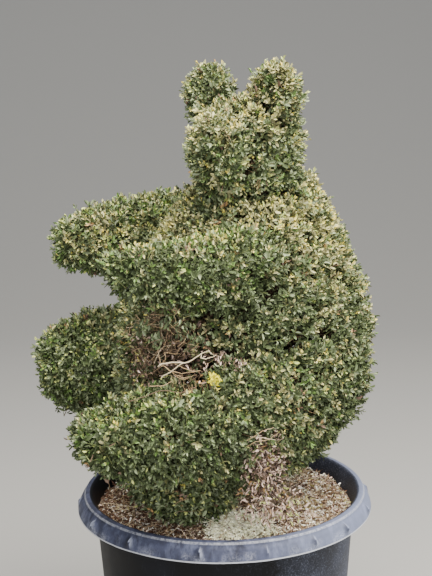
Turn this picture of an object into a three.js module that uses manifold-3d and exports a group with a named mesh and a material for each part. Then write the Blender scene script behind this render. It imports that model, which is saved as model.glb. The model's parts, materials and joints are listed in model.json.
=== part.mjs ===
// Potted boxwood bear topiary.
// A seated bear clipped in box: two ears, a blunt snout, arms and legs stretched forward.
// It grows on one short trunk in a round nursery pot with a flared skirt rim.
// Millimetres, +Z up. The origin is the centre of the pot's flat underside.
// The bear faces -Y and its own left side is +X.
import * as THREE from 'three';
import { mergeVertices } from 'three/addons/utils/BufferGeometryUtils.js';
import Module from 'manifold-3d';

const wasm = await Module();
wasm.setup();

// Driving dimensions
const GAP = 0.3;
const POT = {
  height: 422,
  baseRadius: 219,
  wallTopRadius: 247,
  mouthRadius: 252,
  lipRadius: 268,
  skirtRadius: 281,
  skirtDrop: 34,
  wall: 4,
  floor: 5,
  chamfer: 6,
  lipRoll: 5,
  rimThick: 8,
  skirtHem: 12,
  hemStep: 3,
  sides: 44,
};
const SOIL = { belowRim: 34, heap: 30, seatRadius: 62, edgeRadius: 242, rings: 4 };
const SOIL_EDGE = POT.height - SOIL.belowRim;
const SOIL_TOP = SOIL_EDGE + SOIL.heap;

// A core is the envelope less this depth, and the leaves stand out of it. Each leaf is larger
// than life and stands for a spray. root is a pair's place below the envelope.
const LEAF_DEPTH = 12;
const OVERREACH = 10;
const SPACE_GAP = 5;
const CORE_GAP = 1.2;
const LIMB_MARGIN = 3;
const LEAF = { width: 0.56, thick: 2.8, sunk: 7, widest: 0.42 };
const LEAF_PAIRS = [
  { root: -14, angle: 73, scale: 1 },
  { root: -7, angle: 64, scale: 0.74 },
];
const TWIG = { sides: 3, stemRadius: 6, branchRadius: 4.2, shootRadius: 3, tipRadius: 2 };
const SHOOT_TOP = -3;
const SHOOTS_PER_BRANCH = 3;
const FORK = { inward: 0.8, outward: 0.6 };
// How far chance may move things: shares of a mass and of a leaf, angles in radians, roots in mm.
const CHANCE = {
  place: 0.08, swing: 0.4, around: 0.3, tilt: 0.28, roll: 0.5, root: 3, aside: 1, size: 0.2,
};
const FURTHEST_PLACE = 0.98;
const SWELL = { ridges: 0.022, bands: 0.018 };
const GOLDEN_ANGLE = Math.PI * (3 - Math.sqrt(5));
const CURVE_STEPS = 16;

// Corners closer than GRID are one corner.
const GRID = 0.001;
const SHELL_PASSES = 2;
const FIRST_SEED = 40;
const TRIES = 12;
const SEEDS_PER_TRY = 100;

// The limbs: the trunk's rings lie level, so its foot is a flat cut on the soil. Its root flare
// is drawn out into ridges that fade over the first share of its length.
const TRUNK = {
  name: 'trunk',
  path: [
    [6, 0, SOIL_TOP + GAP], [7, 6, 470], [4, 34, 600],
    [0, 56, 760], [2, 66, 900], [10, 56, 1030],
  ],
  radii: [44, 27, 23, 20, 16, 11],
  sides: 10,
  segments: 10,
  level: true,
  buttress: 0.22,
};
const BUTTRESS = { ridges: 5, share: 1 / 6 };
const BOUGHS = [
  { name: 'left_leg_bough', path: [[6, 10, 500], [64, 22, 560], [132, 10, 604]], radii: [17, 14, 11] },
  { name: 'right_leg_bough', path: [[4, 14, 515], [-62, 22, 575], [-132, 6, 618]], radii: [17, 14, 11] },
  { name: 'left_arm_bough', path: [[0, 58, 800], [56, 30, 850], [122, -24, 880]], radii: [13, 10, 8] },
  { name: 'right_arm_bough', path: [[0, 58, 815], [-56, 28, 865], [-122, -26, 892]], radii: [13, 10, 8] },
  { name: 'snout_bough', path: [[8, 58, 985], [28, 26, 1034], [54, -44, 1064]], radii: [8, 7, 6] },
  { name: 'left_ear_bough', path: [[9, 57, 1000], [48, 74, 1066], [83, 83, 1146]], radii: [8, 7, 6] },
  { name: 'right_ear_bough', path: [[9, 57, 1010], [-20, 36, 1072], [-51, 6, 1144]], radii: [8, 7, 6] },
];

// The clipped masses. from and to are the two ends of a mass, bow pushes its middle sideways,
// girth is the half width (across, deep) at its first end, middle and last end, blunt says how
// square each end is, and turn is the way its own left side points. parentAt is the place along
// its parent limb, from 0 to 1, where its stem starts.
// A mass keeps clear of the ones before it in the list.
const HEAD_TURN = 40;
const MASSES = [
  {
    name: 'left_leg', parent: 'left_leg_bough', shoots: 18, leaf: 58, turn: 0,
    from: [146, 232, 706], to: [188, -337, 608], bow: [12, 0, -38],
    girth: [[80, 148], [84, 112], [76, 72]], blunt: [2.6, 3.4], rings: 12, sides: 18,
  },
  {
    name: 'right_leg', parent: 'right_leg_bough', shoots: 18, leaf: 58, turn: 0,
    from: [-146, 222, 690], to: [-188, -314, 642], bow: [-12, 0, -14],
    girth: [[80, 144], [84, 122], [78, 112]], blunt: [2.6, 3.2], rings: 12, sides: 18,
  },
  {
    name: 'left_arm', parent: 'left_arm_bough', shoots: 11, leaf: 50, turn: 0,
    from: [132, 86, 890], to: [150, -266, 898], bow: [10, 0, -24],
    girth: [[74, 98], [62, 76], [58, 52]], blunt: [2.4, 3.4], rings: 10, sides: 16,
  },
  {
    name: 'right_arm', parent: 'right_arm_bough', shoots: 11, leaf: 50, turn: 0,
    from: [-132, 84, 902], to: [-140, -284, 888], bow: [-10, 0, 4],
    girth: [[74, 96], [62, 80], [58, 66]], blunt: [2.4, 3.2], rings: 10, sides: 16,
  },
  {
    name: 'snout', parent: 'snout_bough', shoots: 5, leaf: 38, turn: HEAD_TURN,
    from: [30, 28, 1072], to: [112, -66, 1069], bow: [0, 0, 0],
    girth: [[62, 82], [64, 84], [60, 76]], blunt: [2.6, 3], rings: 8, sides: 14,
  },
  {
    name: 'left_ear', parent: 'left_ear_bough', shoots: 5, leaf: 38, turn: HEAD_TURN,
    from: [65, 82, 1098], to: [71, 88, 1230], bow: [0, 0, 0],
    girth: [[50, 38], [55, 39], [47, 34]], blunt: [2.4, 2.8], rings: 8, sides: 14,
  },
  {
    name: 'right_ear', parent: 'right_ear_bough', shoots: 5, leaf: 38, turn: HEAD_TURN,
    from: [-35, 0, 1098], to: [-43, -4, 1228], bow: [0, 0, 0],
    girth: [[52, 38], [58, 40], [50, 34]], blunt: [2.4, 2.2], rings: 8, sides: 14,
  },
  {
    name: 'head', parent: 'trunk', parentAt: 1, shoots: 9, leaf: 48, turn: HEAD_TURN,
    from: [16, 50, 976], to: [16, 44, 1174], bow: [0, 0, 0],
    girth: [[106, 100], [108, 105], [104, 98]], blunt: [3.6, 2.6], rings: 10, sides: 18,
  },
  {
    name: 'seat', parent: 'trunk', parentAt: 0.12, shoots: 9, leaf: 48, turn: 0,
    from: [42, -110, 390], to: [30, -40, 640], bow: [0, 0, 0],
    girth: [[122, 116], [126, 126], [110, 120]], blunt: [3.2, 2.4], rings: 8, sides: 18,
  },
  {
    name: 'torso', parent: 'trunk', parentAt: 0.5, shoots: 34, leaf: 58, turn: 0,
    from: [0, -14, 472], to: [0, 91, 1067], bow: [0, 12, 0],
    girth: [[212, 226], [216, 241], [122, 146]], blunt: [4.2, 2.5], rings: 14, sides: 24,
  },
];

function surface(name, color, roughness) {
  return new THREE.MeshStandardMaterial({ name, color, roughness, metalness: 0 });
}

const SURFACES = {
  pot: surface('pot_plastic', 0x2b2e33, 0.62),
  soil: surface('potting_soil', 0x6d5744, 0.95),
  bark: surface('box_bark', 0x8d8068, 0.9),
  leaf: surface('box_leaves', 0x5c6f46, 0.6),
};

// Small helpers
const vector = (list) => new THREE.Vector3(...list);
const radians = (degrees) => degrees * Math.PI / 180;

function randomSource(seed) {
  let state = seed;
  return () => {
    state = (Math.imul(state, 1664525) + 1013904223) >>> 0;
    return state / 2 ** 32;
  };
}

// A number from -1/2 to 1/2 times a range.
const spread = (random, range) => (random() - 0.5) * range;

// A value that runs through a short list as t goes from 0 to 1.
function along(list, t) {
  const place = THREE.MathUtils.clamp(t, 0, 1) * (list.length - 1);
  const first = Math.min(Math.floor(place), list.length - 2);
  return THREE.MathUtils.lerp(list[first], list[first + 1], place - first);
}

// Two directions square to a line and to each other, the first also square to a guide.
function squareTo(line, guide = guideFor(line)) {
  const first = guide.clone().cross(line).normalize();
  return [first, line.clone().cross(first)];
}

function guideFor(line) {
  return Math.abs(line.z) < 0.9 ? new THREE.Vector3(0, 0, 1) : new THREE.Vector3(1, 0, 0);
}

// Solids: a closed geometry becomes a solid that can be joined and cut, and comes back again.
function toSolid(geometry) {
  const bare = geometry.clone();
  bare.deleteAttribute('normal');
  bare.deleteAttribute('uv');
  const closed = mergeVertices(bare, GRID / 10);
  return new wasm.Manifold(new wasm.Mesh({
    numProp: 3,
    vertProperties: Float32Array.from(closed.attributes.position.array),
    triVerts: Uint32Array.from(closed.index.array),
  }));
}

// Corners move onto a fine grid, where near ones become one and the faces between them go.
function toGeometry(solid) {
  const mesh = solid.getMesh();
  const places = [];
  const seen = new Map();
  const cornerOf = Array.from({ length: mesh.numVert }, (_, i) => {
    const steps = [0, 1, 2].map((k) => Math.round(mesh.vertProperties[3 * i + k] / GRID));
    const key = steps.join(' ');
    if (!seen.has(key)) {
      seen.set(key, seen.size);
      places.push(...steps.map((step) => step * GRID));
    }
    return seen.get(key);
  });
  const corners = [];
  for (let i = 0; i < mesh.triVerts.length; i += 3) {
    const face = [0, 1, 2].map((k) => cornerOf[mesh.triVerts[i + k]]);
    if (new Set(face).size === 3) {
      corners.push(...face);
    }
  }
  const geometry = new THREE.BufferGeometry();
  geometry.setAttribute('position', new THREE.Float32BufferAttribute(places, 3));
  geometry.setIndex(corners);
  geometry.computeVertexNormals();
  return geometry;
}

// True where every edge lies between exactly two faces.
function isSound(geometry) {
  const corners = geometry.index.array;
  const uses = new Map();
  for (let i = 0; i < corners.length; i += 3) {
    const face = [corners[i], corners[i + 1], corners[i + 2]];
    face.forEach((corner, k) => {
      const next = face[(k + 1) % 3];
      const key = `${Math.min(corner, next)} ${Math.max(corner, next)}`;
      uses.set(key, (uses.get(key) ?? 0) + 1);
    });
  }
  return [...uses.values()].every((count) => count === 2);
}

// The largest shell alone: scraps are dropped and sealed hollows are filled. The grid can pinch
// off one more shell, so it is done again on the result. Nothing is returned for a shell that
// meets itself along an edge.
function largestShell(solid) {
  let geometry = toGeometry(solid);
  for (let pass = 0; pass < SHELL_PASSES; pass += 1) {
    if (!isSound(geometry)) {
      return null;
    }
    const shells = toSolid(geometry).decompose();
    const largest = shells.reduce((best, shell) => (shell.volume() > best.volume() ? shell : best));
    geometry = toGeometry(largest);
  }
  return isSound(geometry) ? geometry : null;
}

// Moves every vertex of a geometry to the place that a function gives for it.
function reshape(geometry, place) {
  const position = geometry.attributes.position;
  const vertex = new THREE.Vector3();
  for (let i = 0; i < position.count; i += 1) {
    vertex.fromBufferAttribute(position, i);
    const moved = place(vertex);
    position.setXYZ(i, moved.x, moved.y, moved.z);
  }
  return geometry;
}

// A tapering round limb along a curve through its points, closed at both ends.
function limbGeometry(spec, grow = 0) {
  const { sides = 8, segments = 4, level = false, buttress = 0 } = spec;
  const curve = new THREE.CatmullRomCurve3(spec.path.map(vector));
  const chord = curve.getPoint(1).sub(curve.getPoint(0)).normalize();
  const guide = level ? new THREE.Vector3(1, 0, 0) : squareTo(chord)[0];
  const rod = new THREE.CylinderGeometry(1, 1, 1, sides, segments);
  return reshape(rod, (v) => {
    const t = v.y + 0.5;
    const tangent = level ? new THREE.Vector3(0, 0, 1) : curve.getTangent(t);
    const [first, second] = squareTo(tangent, guide);
    const ridge = Math.cos(BUTTRESS.ridges * Math.atan2(v.z, v.x));
    const flare = 1 + buttress * ridge * Math.max(0, 1 - t / BUTTRESS.share);
    const radius = along(spec.radii, t) * flare + grow;
    const isEnd = Math.abs(v.y) > 0.499;
    return curve.getPoint(t).addScaledVector(tangent, isEnd ? Math.sign(v.y) * grow : 0)
      .addScaledVector(first, -v.x * radius).addScaledVector(second, v.z * radius);
  });
}

// How far a point lies outside a limb's bark.
function outsideLimb(spec, point) {
  const curve = new THREE.CatmullRomCurve3(spec.path.map(vector));
  let nearest = Infinity;
  for (let i = 0; i <= CURVE_STEPS; i += 1) {
    const t = i / CURVE_STEPS;
    const reach = curve.getPoint(t).distanceTo(point) - along(spec.radii, t);
    nearest = Math.min(nearest, reach);
  }
  return nearest;
}

// A clipped mass is a ball drawn out along a bowed line, with its own girth and blunt ends.
class Mass {
  constructor(spec) {
    Object.assign(this, spec);
    this.start = vector(spec.from);
    this.axis = vector(spec.to).sub(this.start);
    this.length = this.axis.length();
    this.axis.normalize();
    const turn = radians(spec.turn);
    const left = new THREE.Vector3(Math.cos(turn), Math.sin(turn), 0);
    this.across = left.addScaledVector(this.axis, -left.dot(this.axis)).normalize();
    this.deep = this.axis.clone().cross(this.across);
    this.bowing = vector(spec.bow);
    this.phase = spec.from[0] / 20 + spec.to[2] / 100;
  }

  centre(w) {
    const t = (w + 1) / 2;
    return this.start.clone().addScaledVector(this.axis, t * this.length)
      .addScaledVector(this.bowing, 1 - w * w);
  }

  // The half width of the section at w, for one of its two ways across.
  half(w, way, grow) {
    const t = (w + 1) / 2;
    return along(this.girth.map((pair) => pair[way]), t) + grow;
  }

  ring(w) {
    const power = w < 0 ? this.blunt[0] : this.blunt[1];
    return Math.max(0, 1 - Math.abs(w) ** power) ** (1 / power);
  }

  // A slow swelling of the clipped surface, no two sides alike.
  swell(w, angle) {
    return 1 + SWELL.ridges * Math.sin(3 * angle + this.phase + 2 * w)
      + SWELL.bands * Math.sin(5 * w + 2 * angle);
  }

  surface(w, angle, grow = 0) {
    const round = this.ring(w) * this.swell(w, angle);
    return this.centre(w).addScaledVector(this.axis, w * grow)
      .addScaledVector(this.across, Math.cos(angle) * round * this.half(w, 0, grow))
      .addScaledVector(this.deep, Math.sin(angle) * round * this.half(w, 1, grow));
  }

  outward(w, angle) {
    const step = LEAF_DEPTH;
    return this.surface(w, angle, step).sub(this.surface(w, angle, -step)).normalize();
  }

  // Under 1 for a point inside the mass grown by so many millimetres.
  share(point, grow = 0) {
    const step = point.clone().sub(this.start);
    const half = this.length / 2;
    const w = (step.dot(this.axis) - half) / (half + grow);
    if (Math.abs(w) >= 1) {
      return Math.abs(w);
    }
    const offset = point.clone().sub(this.centre(w * (half + grow) / half));
    const x = offset.dot(this.across) / this.half(w, 0, grow);
    const y = offset.dot(this.deep) / this.half(w, 1, grow);
    const power = w < 0 ? this.blunt[0] : this.blunt[1];
    const round = Math.hypot(x, y) / this.swell(w, Math.atan2(y, x));
    return (round ** power + Math.abs(w) ** power) ** (1 / power);
  }

  core(grow) {
    const ball = new THREE.SphereGeometry(1, this.sides, this.rings);
    return reshape(ball, (v) => this.surface(v.y, Math.atan2(-v.z, v.x), grow));
  }
}

// Foliage
// A leaf is a thin pointed blade of 8 faces, thickest in the middle.
function leafGeometry(root, direction, side, length) {
  const lift = side.clone().cross(direction).normalize();
  const blade = new THREE.OctahedronGeometry(1);
  return reshape(blade, (v) => {
    const ends = v.y > 0 ? length : -LEAF.sunk;
    const run = Math.abs(v.y) > 0.5 ? ends : length * LEAF.widest;
    return root.clone().addScaledVector(direction, run)
      .addScaledVector(side, v.x * LEAF.width * length / 2)
      .addScaledVector(lift, v.z * LEAF.thick / 2);
  });
}

// A three-sided twig from one point to another.
function twigGeometry(from, to, startRadius, endRadius) {
  const line = to.clone().sub(from).normalize();
  const [first, second] = squareTo(line);
  const rod = new THREE.CylinderGeometry(1, 1, 1, TWIG.sides, 1);
  return reshape(rod, (v) => {
    const t = v.y + 0.5;
    const radius = THREE.MathUtils.lerp(startRadius, endRadius, t);
    return from.clone().lerp(to, t)
      .addScaledVector(first, -v.x * radius).addScaledVector(second, v.z * radius);
  });
}

// True where a mass may put foliage: inside its own envelope, and out of every other space.
function isFree(mass, point, masses, limbs) {
  const radius = Math.hypot(point.x, point.y);
  const isInSoil = point.z < soilHeight(radius) + SPACE_GAP;
  const isInRim = point.z < POT.height + SPACE_GAP && radius > POT.mouthRadius - 2 * SPACE_GAP;
  if (mass.share(point, OVERREACH) >= 1 || isInSoil || isInRim) {
    return false;
  }
  const rank = masses.indexOf(mass);
  const clearOfMasses = masses.every((other, i) => {
    if (i === rank) {
      return true;
    }
    const grow = i < rank ? OVERREACH + SPACE_GAP : SPACE_GAP - LEAF_DEPTH;
    return other.share(point, grow) > 1;
  });
  return clearOfMasses && limbs.every((limb) => outsideLimb(limb, point) > LIMB_MARGIN);
}

// Every corner of a blade, and the point halfway from each to its middle.
function pointsOf(geometry) {
  const position = geometry.attributes.position;
  const corners = Array.from({ length: position.count }, (_, i) => (
    new THREE.Vector3().fromBufferAttribute(position, i)
  ));
  const middle = new THREE.Vector3();
  corners.forEach((corner) => middle.addScaledVector(corner, 1 / corners.length));
  return corners.flatMap((corner) => [corner, corner.clone().lerp(middle, 0.5)]);
}

// One leaf of a pair, with its root on the shoot.
function growLeaf(mass, w, angle, pair, around, random) {
  const out = mass.outward(w, angle);
  const [first, second] = squareTo(out);
  const aside = first.multiplyScalar(Math.cos(around)).addScaledVector(second, Math.sin(around));
  const tilt = radians(pair.angle) + spread(random, CHANCE.tilt);
  const direction = out.clone().multiplyScalar(Math.cos(tilt))
    .addScaledVector(aside, Math.sin(tilt));
  const side = out.clone().cross(aside).normalize()
    .applyAxisAngle(direction, spread(random, CHANCE.roll));
  const root = mass.surface(w, angle, pair.root + spread(random, CHANCE.root))
    .addScaledVector(side, spread(random, CHANCE.aside));
  const length = mass.leaf * pair.scale * (1 + spread(random, CHANCE.size));
  return leafGeometry(root, direction, side, length);
}

// One shoot: a twig out to just under the surface, and its pairs of leaves set crosswise. A twig
// or leaf that would leave the mass's own space is skipped.
function growShoot(mass, fork, w, angle, random, isOpen) {
  const top = mass.surface(w, angle, SHOOT_TOP);
  const isKept = (point) => isOpen(point) || mass.share(point, -LEAF_DEPTH) < 1;
  const way = [0.25, 0.5, 0.75, 1].map((t) => fork.clone().lerp(top, t));
  if (!isOpen(top) || !way.every(isKept)) {
    return [];
  }
  const pieces = [twigGeometry(fork, top, TWIG.shootRadius, TWIG.tipRadius)];
  const spin = random() * Math.PI;
  LEAF_PAIRS.forEach((pair, level) => {
    [0, Math.PI].forEach((half) => {
      const around = spin + half + level * Math.PI / 2 + spread(random, CHANCE.around);
      const blade = growLeaf(mass, w, angle, pair, around, random);
      if (pointsOf(blade).every(isKept)) {
        pieces.push(blade);
      }
    });
  });
  return pieces;
}

// A mass: its stem goes on from its parent limb, branches leave the stem, and each shoot grows
// from the fork nearest to its own place on the surface.
function growMass(mass, masses, limbs, seed) {
  const random = randomSource(seed);
  const isOpen = (point) => isFree(mass, point, masses, limbs);
  const parent = limbs.find((limb) => limb.name === mass.parent);
  const line = new THREE.CatmullRomCurve3(parent.path.map(vector));
  const foot = line.getPoint(mass.parentAt ?? 1);
  const head = mass.centre(0);
  const pieces = [
    mass.core(-LEAF_DEPTH),
    twigGeometry(foot, head, TWIG.stemRadius, TWIG.branchRadius),
  ];
  const forks = spiral(Math.ceil(mass.shoots / SHOOTS_PER_BRANCH)).map(([w, angle]) => (
    mass.centre(w * FORK.inward).lerp(mass.surface(w, angle, -LEAF_DEPTH), FORK.outward)
  ));
  forks.forEach((fork) => {
    pieces.push(twigGeometry(head, fork, TWIG.branchRadius, TWIG.shootRadius));
  });
  spiral(mass.shoots).forEach(([w, angle]) => {
    const shifted = w + spread(random, CHANCE.place);
    const place = THREE.MathUtils.clamp(shifted, -FURTHEST_PLACE, FURTHEST_PLACE);
    const swung = angle + spread(random, CHANCE.swing);
    const target = mass.surface(place, swung);
    const fork = forks.reduce((best, next) => (
      next.distanceTo(target) < best.distanceTo(target) ? next : best
    ));
    pieces.push(...growShoot(mass, fork, place, swung, random, isOpen));
  });
  return pieces.map(toSolid).reduce((sum, piece) => sum.add(piece));
}

// Places spread evenly over a mass, end to end and round about.
function spiral(count) {
  return Array.from({ length: count }, (_, i) => [1 - 2 * (i + 0.5) / count, i * GOLDEN_ANGLE]);
}

// The pot: an open vessel with a rolled lip and a skirt that flares outward under it.
function potGeometry() {
  const p = POT;
  const skirtFoot = p.height - p.skirtDrop;
  const lipFoot = p.height - p.lipRoll;
  const rimUnder = p.height - p.rimThick;
  const profile = [
    [0, 0], [p.baseRadius - p.chamfer, 0], [p.baseRadius, p.chamfer],
    [p.wallTopRadius, skirtFoot], [p.mouthRadius + p.wall, rimUnder],
    [p.lipRadius - p.wall, rimUnder], [p.skirtRadius - p.wall, skirtFoot],
    [p.skirtRadius, skirtFoot], [p.skirtRadius - p.hemStep, skirtFoot + p.skirtHem],
    [p.lipRadius, lipFoot], [p.lipRadius - p.lipRoll, p.height],
    [p.mouthRadius + p.lipRoll, p.height], [p.mouthRadius, lipFoot],
    [p.wallTopRadius - p.wall, skirtFoot], [p.baseRadius - p.wall, p.floor], [0, p.floor],
  ];
  return latheGeometry(profile);
}

// The soil: packed against the wall, heaped to a level seat under the trunk.
function soilGeometry(grow = 0) {
  const low = POT.floor + GAP;
  const inner = (z) => THREE.MathUtils.mapLinear(
    z,
    POT.floor,
    POT.height - POT.skirtDrop,
    POT.baseRadius - POT.wall,
    POT.wallTopRadius - POT.wall,
  ) - GAP;
  const rise = Array.from({ length: SOIL.rings }, (_, i) => {
    const share = 1 - i / (SOIL.rings + 1);
    const radius = THREE.MathUtils.lerp(SOIL.seatRadius, inner(SOIL_EDGE), share);
    return [radius, soilHeight(radius) + grow];
  });
  return latheGeometry([
    [0, low], [inner(low), low], ...rise,
    [SOIL.seatRadius, SOIL_TOP + grow], [0, SOIL_TOP + grow],
  ]);
}

// The height of the soil at a distance from the pot's middle.
function soilHeight(radius) {
  const share = (radius - SOIL.seatRadius) / (SOIL.edgeRadius - SOIL.seatRadius);
  return SOIL_TOP - SOIL.heap * THREE.MathUtils.smootherstep(share, 0, 1);
}

// LatheGeometry turns about Y, so the profile is laid out with its height there and stood up.
function latheGeometry(profile) {
  const points = profile.map(([radius, z]) => new THREE.Vector2(radius, z));
  return new THREE.LatheGeometry(points, POT.sides).rotateX(Math.PI / 2);
}

function addMesh(group, name, geometry, material) {
  const mesh = new THREE.Mesh(geometry, material);
  mesh.name = name;
  group.add(mesh);
}

function buildTopiary() {
  const group = new THREE.Group();
  addMesh(group, 'pot', potGeometry(), SURFACES.pot);
  addMesh(group, 'soil', soilGeometry(), SURFACES.soil);

  const limbs = [TRUNK, ...BOUGHS];
  const trunk = toSolid(limbGeometry(TRUNK));
  addMesh(group, TRUNK.name, toGeometry(trunk), SURFACES.bark);
  const trunkSpace = toSolid(limbGeometry(TRUNK, GAP));
  BOUGHS.forEach((bough) => {
    const seated = toSolid(limbGeometry(bough)).subtract(trunkSpace);
    addMesh(group, bough.name, largestShell(seated), SURFACES.bark);
  });

  const masses = MASSES.map((spec) => new Mass(spec));
  const taken = [soilGeometry(GAP), ...limbs.map((limb) => limbGeometry(limb, GAP))].map(toSolid);
  masses.forEach((mass, i) => {
    // A growth whose leaves meet edge to edge is grown again from the next seed.
    let geometry = null;
    for (let attempt = 0; attempt < TRIES && !geometry; attempt += 1) {
      const grown = growMass(mass, masses, limbs, FIRST_SEED + i + SEEDS_PER_TRY * attempt);
      geometry = largestShell(taken.reduce((solid, space) => solid.subtract(space), grown));
    }
    addMesh(group, mass.name, geometry, SURFACES.leaf);
    taken.push(toSolid(mass.core(CORE_GAP - LEAF_DEPTH)));
  });
  return group;
}

export default buildTopiary();
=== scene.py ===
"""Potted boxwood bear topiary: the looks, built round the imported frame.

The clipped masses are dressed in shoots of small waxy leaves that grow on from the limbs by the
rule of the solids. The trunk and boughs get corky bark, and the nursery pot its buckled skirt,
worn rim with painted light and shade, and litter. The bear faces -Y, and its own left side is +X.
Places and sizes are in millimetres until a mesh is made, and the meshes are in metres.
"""

import json
import math

import bmesh
import bpy
import numpy as np
from mathutils import Matrix, Vector
from mathutils.kdtree import KDTree

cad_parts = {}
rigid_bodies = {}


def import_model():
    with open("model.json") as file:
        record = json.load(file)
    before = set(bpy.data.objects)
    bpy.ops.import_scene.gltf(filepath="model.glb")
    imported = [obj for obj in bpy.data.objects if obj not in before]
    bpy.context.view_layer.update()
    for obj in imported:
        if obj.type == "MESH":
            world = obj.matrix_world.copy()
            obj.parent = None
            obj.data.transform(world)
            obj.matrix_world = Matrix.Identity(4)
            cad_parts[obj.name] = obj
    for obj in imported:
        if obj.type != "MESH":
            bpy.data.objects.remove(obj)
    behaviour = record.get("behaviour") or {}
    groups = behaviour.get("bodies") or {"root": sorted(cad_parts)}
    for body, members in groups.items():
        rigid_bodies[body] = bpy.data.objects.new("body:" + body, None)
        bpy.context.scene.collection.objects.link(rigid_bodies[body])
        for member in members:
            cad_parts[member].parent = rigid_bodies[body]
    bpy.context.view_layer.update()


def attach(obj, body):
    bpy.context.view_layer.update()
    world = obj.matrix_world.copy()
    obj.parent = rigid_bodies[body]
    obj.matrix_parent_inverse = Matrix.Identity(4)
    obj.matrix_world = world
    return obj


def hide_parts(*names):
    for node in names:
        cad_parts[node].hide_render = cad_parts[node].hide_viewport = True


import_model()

MM = 0.001
GOLDEN_ANGLE = math.pi * (3 - math.sqrt(5))
GOLDEN_SHARE = (math.sqrt(5) - 1) / 2
SEEDS = {"masses": 300, "bare_patches": 700, "laid_twigs": 800, "hanging": 820, "litter": 900}

# The camera: a phone's long lens, looking down on the bear's left side. The floor is in metres.
FRAME_PIXELS = (432, 576)
FOCAL_PIXELS = 1282
SENSOR = 36
CAMERA_HEIGHT = 1322
CAMERA_AWAY = 2328
POT_ASIDE = 9.4
CAMERA_TURN = math.radians(70)
CAMERA_TILT = math.radians(12.36)
CAMERA_ROLL = math.radians(0.99)
FLOOR_SIZE = 60
FLOOR_BEHIND = 7

# The light, in metres: an even sky and three soft lamps that aim at the plant's middle.
SKY = {"tint": "ebeef0", "strength": 1.04}
LAMP_AIM = (0, 0, 0.75)
LAMPS = [
    {"name": "overhead_softbox", "place": (0.65, 0.3, 3.0), "size": 2.2, "watts": 320,
     "tint": "fffaf0"},
    {"name": "front_fill", "place": (2.7, -1.5, 1.7), "size": 1.8, "watts": 50, "tint": "f6f6f8"},
    {"name": "side_softbox", "place": (2.2, 2.1, 1.6), "size": 1.8, "watts": 92, "tint": "fbfaf4"},
]

# The photograph's own directions: to its right, and away into it.
PHOTO_RIGHT = np.array([math.cos(CAMERA_TURN), math.sin(CAMERA_TURN), 0])
PHOTO_AWAY = np.array([-math.sin(CAMERA_TURN), math.cos(CAMERA_TURN), 0])
UP = np.array([0, 0, 1.0])

# The pot and what fills it, as in the solids.
POT = {
    "height": 422, "base_radius": 219, "wall_top_radius": 247, "mouth_radius": 252,
    "lip_radius": 268, "skirt_radius": 281, "skirt_drop": 34, "wall": 4, "floor": 5, "chamfer": 6,
}
SOIL_EDGE = 388
SOIL_HEAP = 30
SOIL_TOP = SOIL_EDGE + SOIL_HEAP
SOIL_SEAT_RADIUS = 62
SOIL_EDGE_RADIUS = 242

# The limbs, as in the solids: the points of the line, and the radius at even steps along it.
LIMBS = {
    "trunk": (
        [[6, 0, 418.3], [7, 6, 470], [4, 34, 600], [0, 56, 760], [2, 66, 900], [10, 56, 1030]],
        [44, 27, 23, 20, 16, 11],
    ),
    "left_leg_bough": ([[6, 10, 500], [64, 22, 560], [132, 10, 604]], [17, 14, 11]),
    "right_leg_bough": ([[4, 14, 515], [-62, 22, 575], [-132, 6, 618]], [17, 14, 11]),
    "left_arm_bough": ([[0, 58, 800], [56, 30, 850], [122, -24, 880]], [13, 10, 8]),
    "right_arm_bough": ([[0, 58, 815], [-56, 28, 865], [-122, -26, 892]], [13, 10, 8]),
    "snout_bough": ([[8, 58, 985], [28, 26, 1034], [54, -44, 1064]], [8, 7, 6]),
    "left_ear_bough": ([[9, 57, 1000], [48, 74, 1066], [83, 83, 1146]], [8, 7, 6]),
    "right_ear_bough": ([[9, 57, 1010], [-20, 36, 1072], [-51, 6, 1144]], [8, 7, 6]),
}

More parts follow.
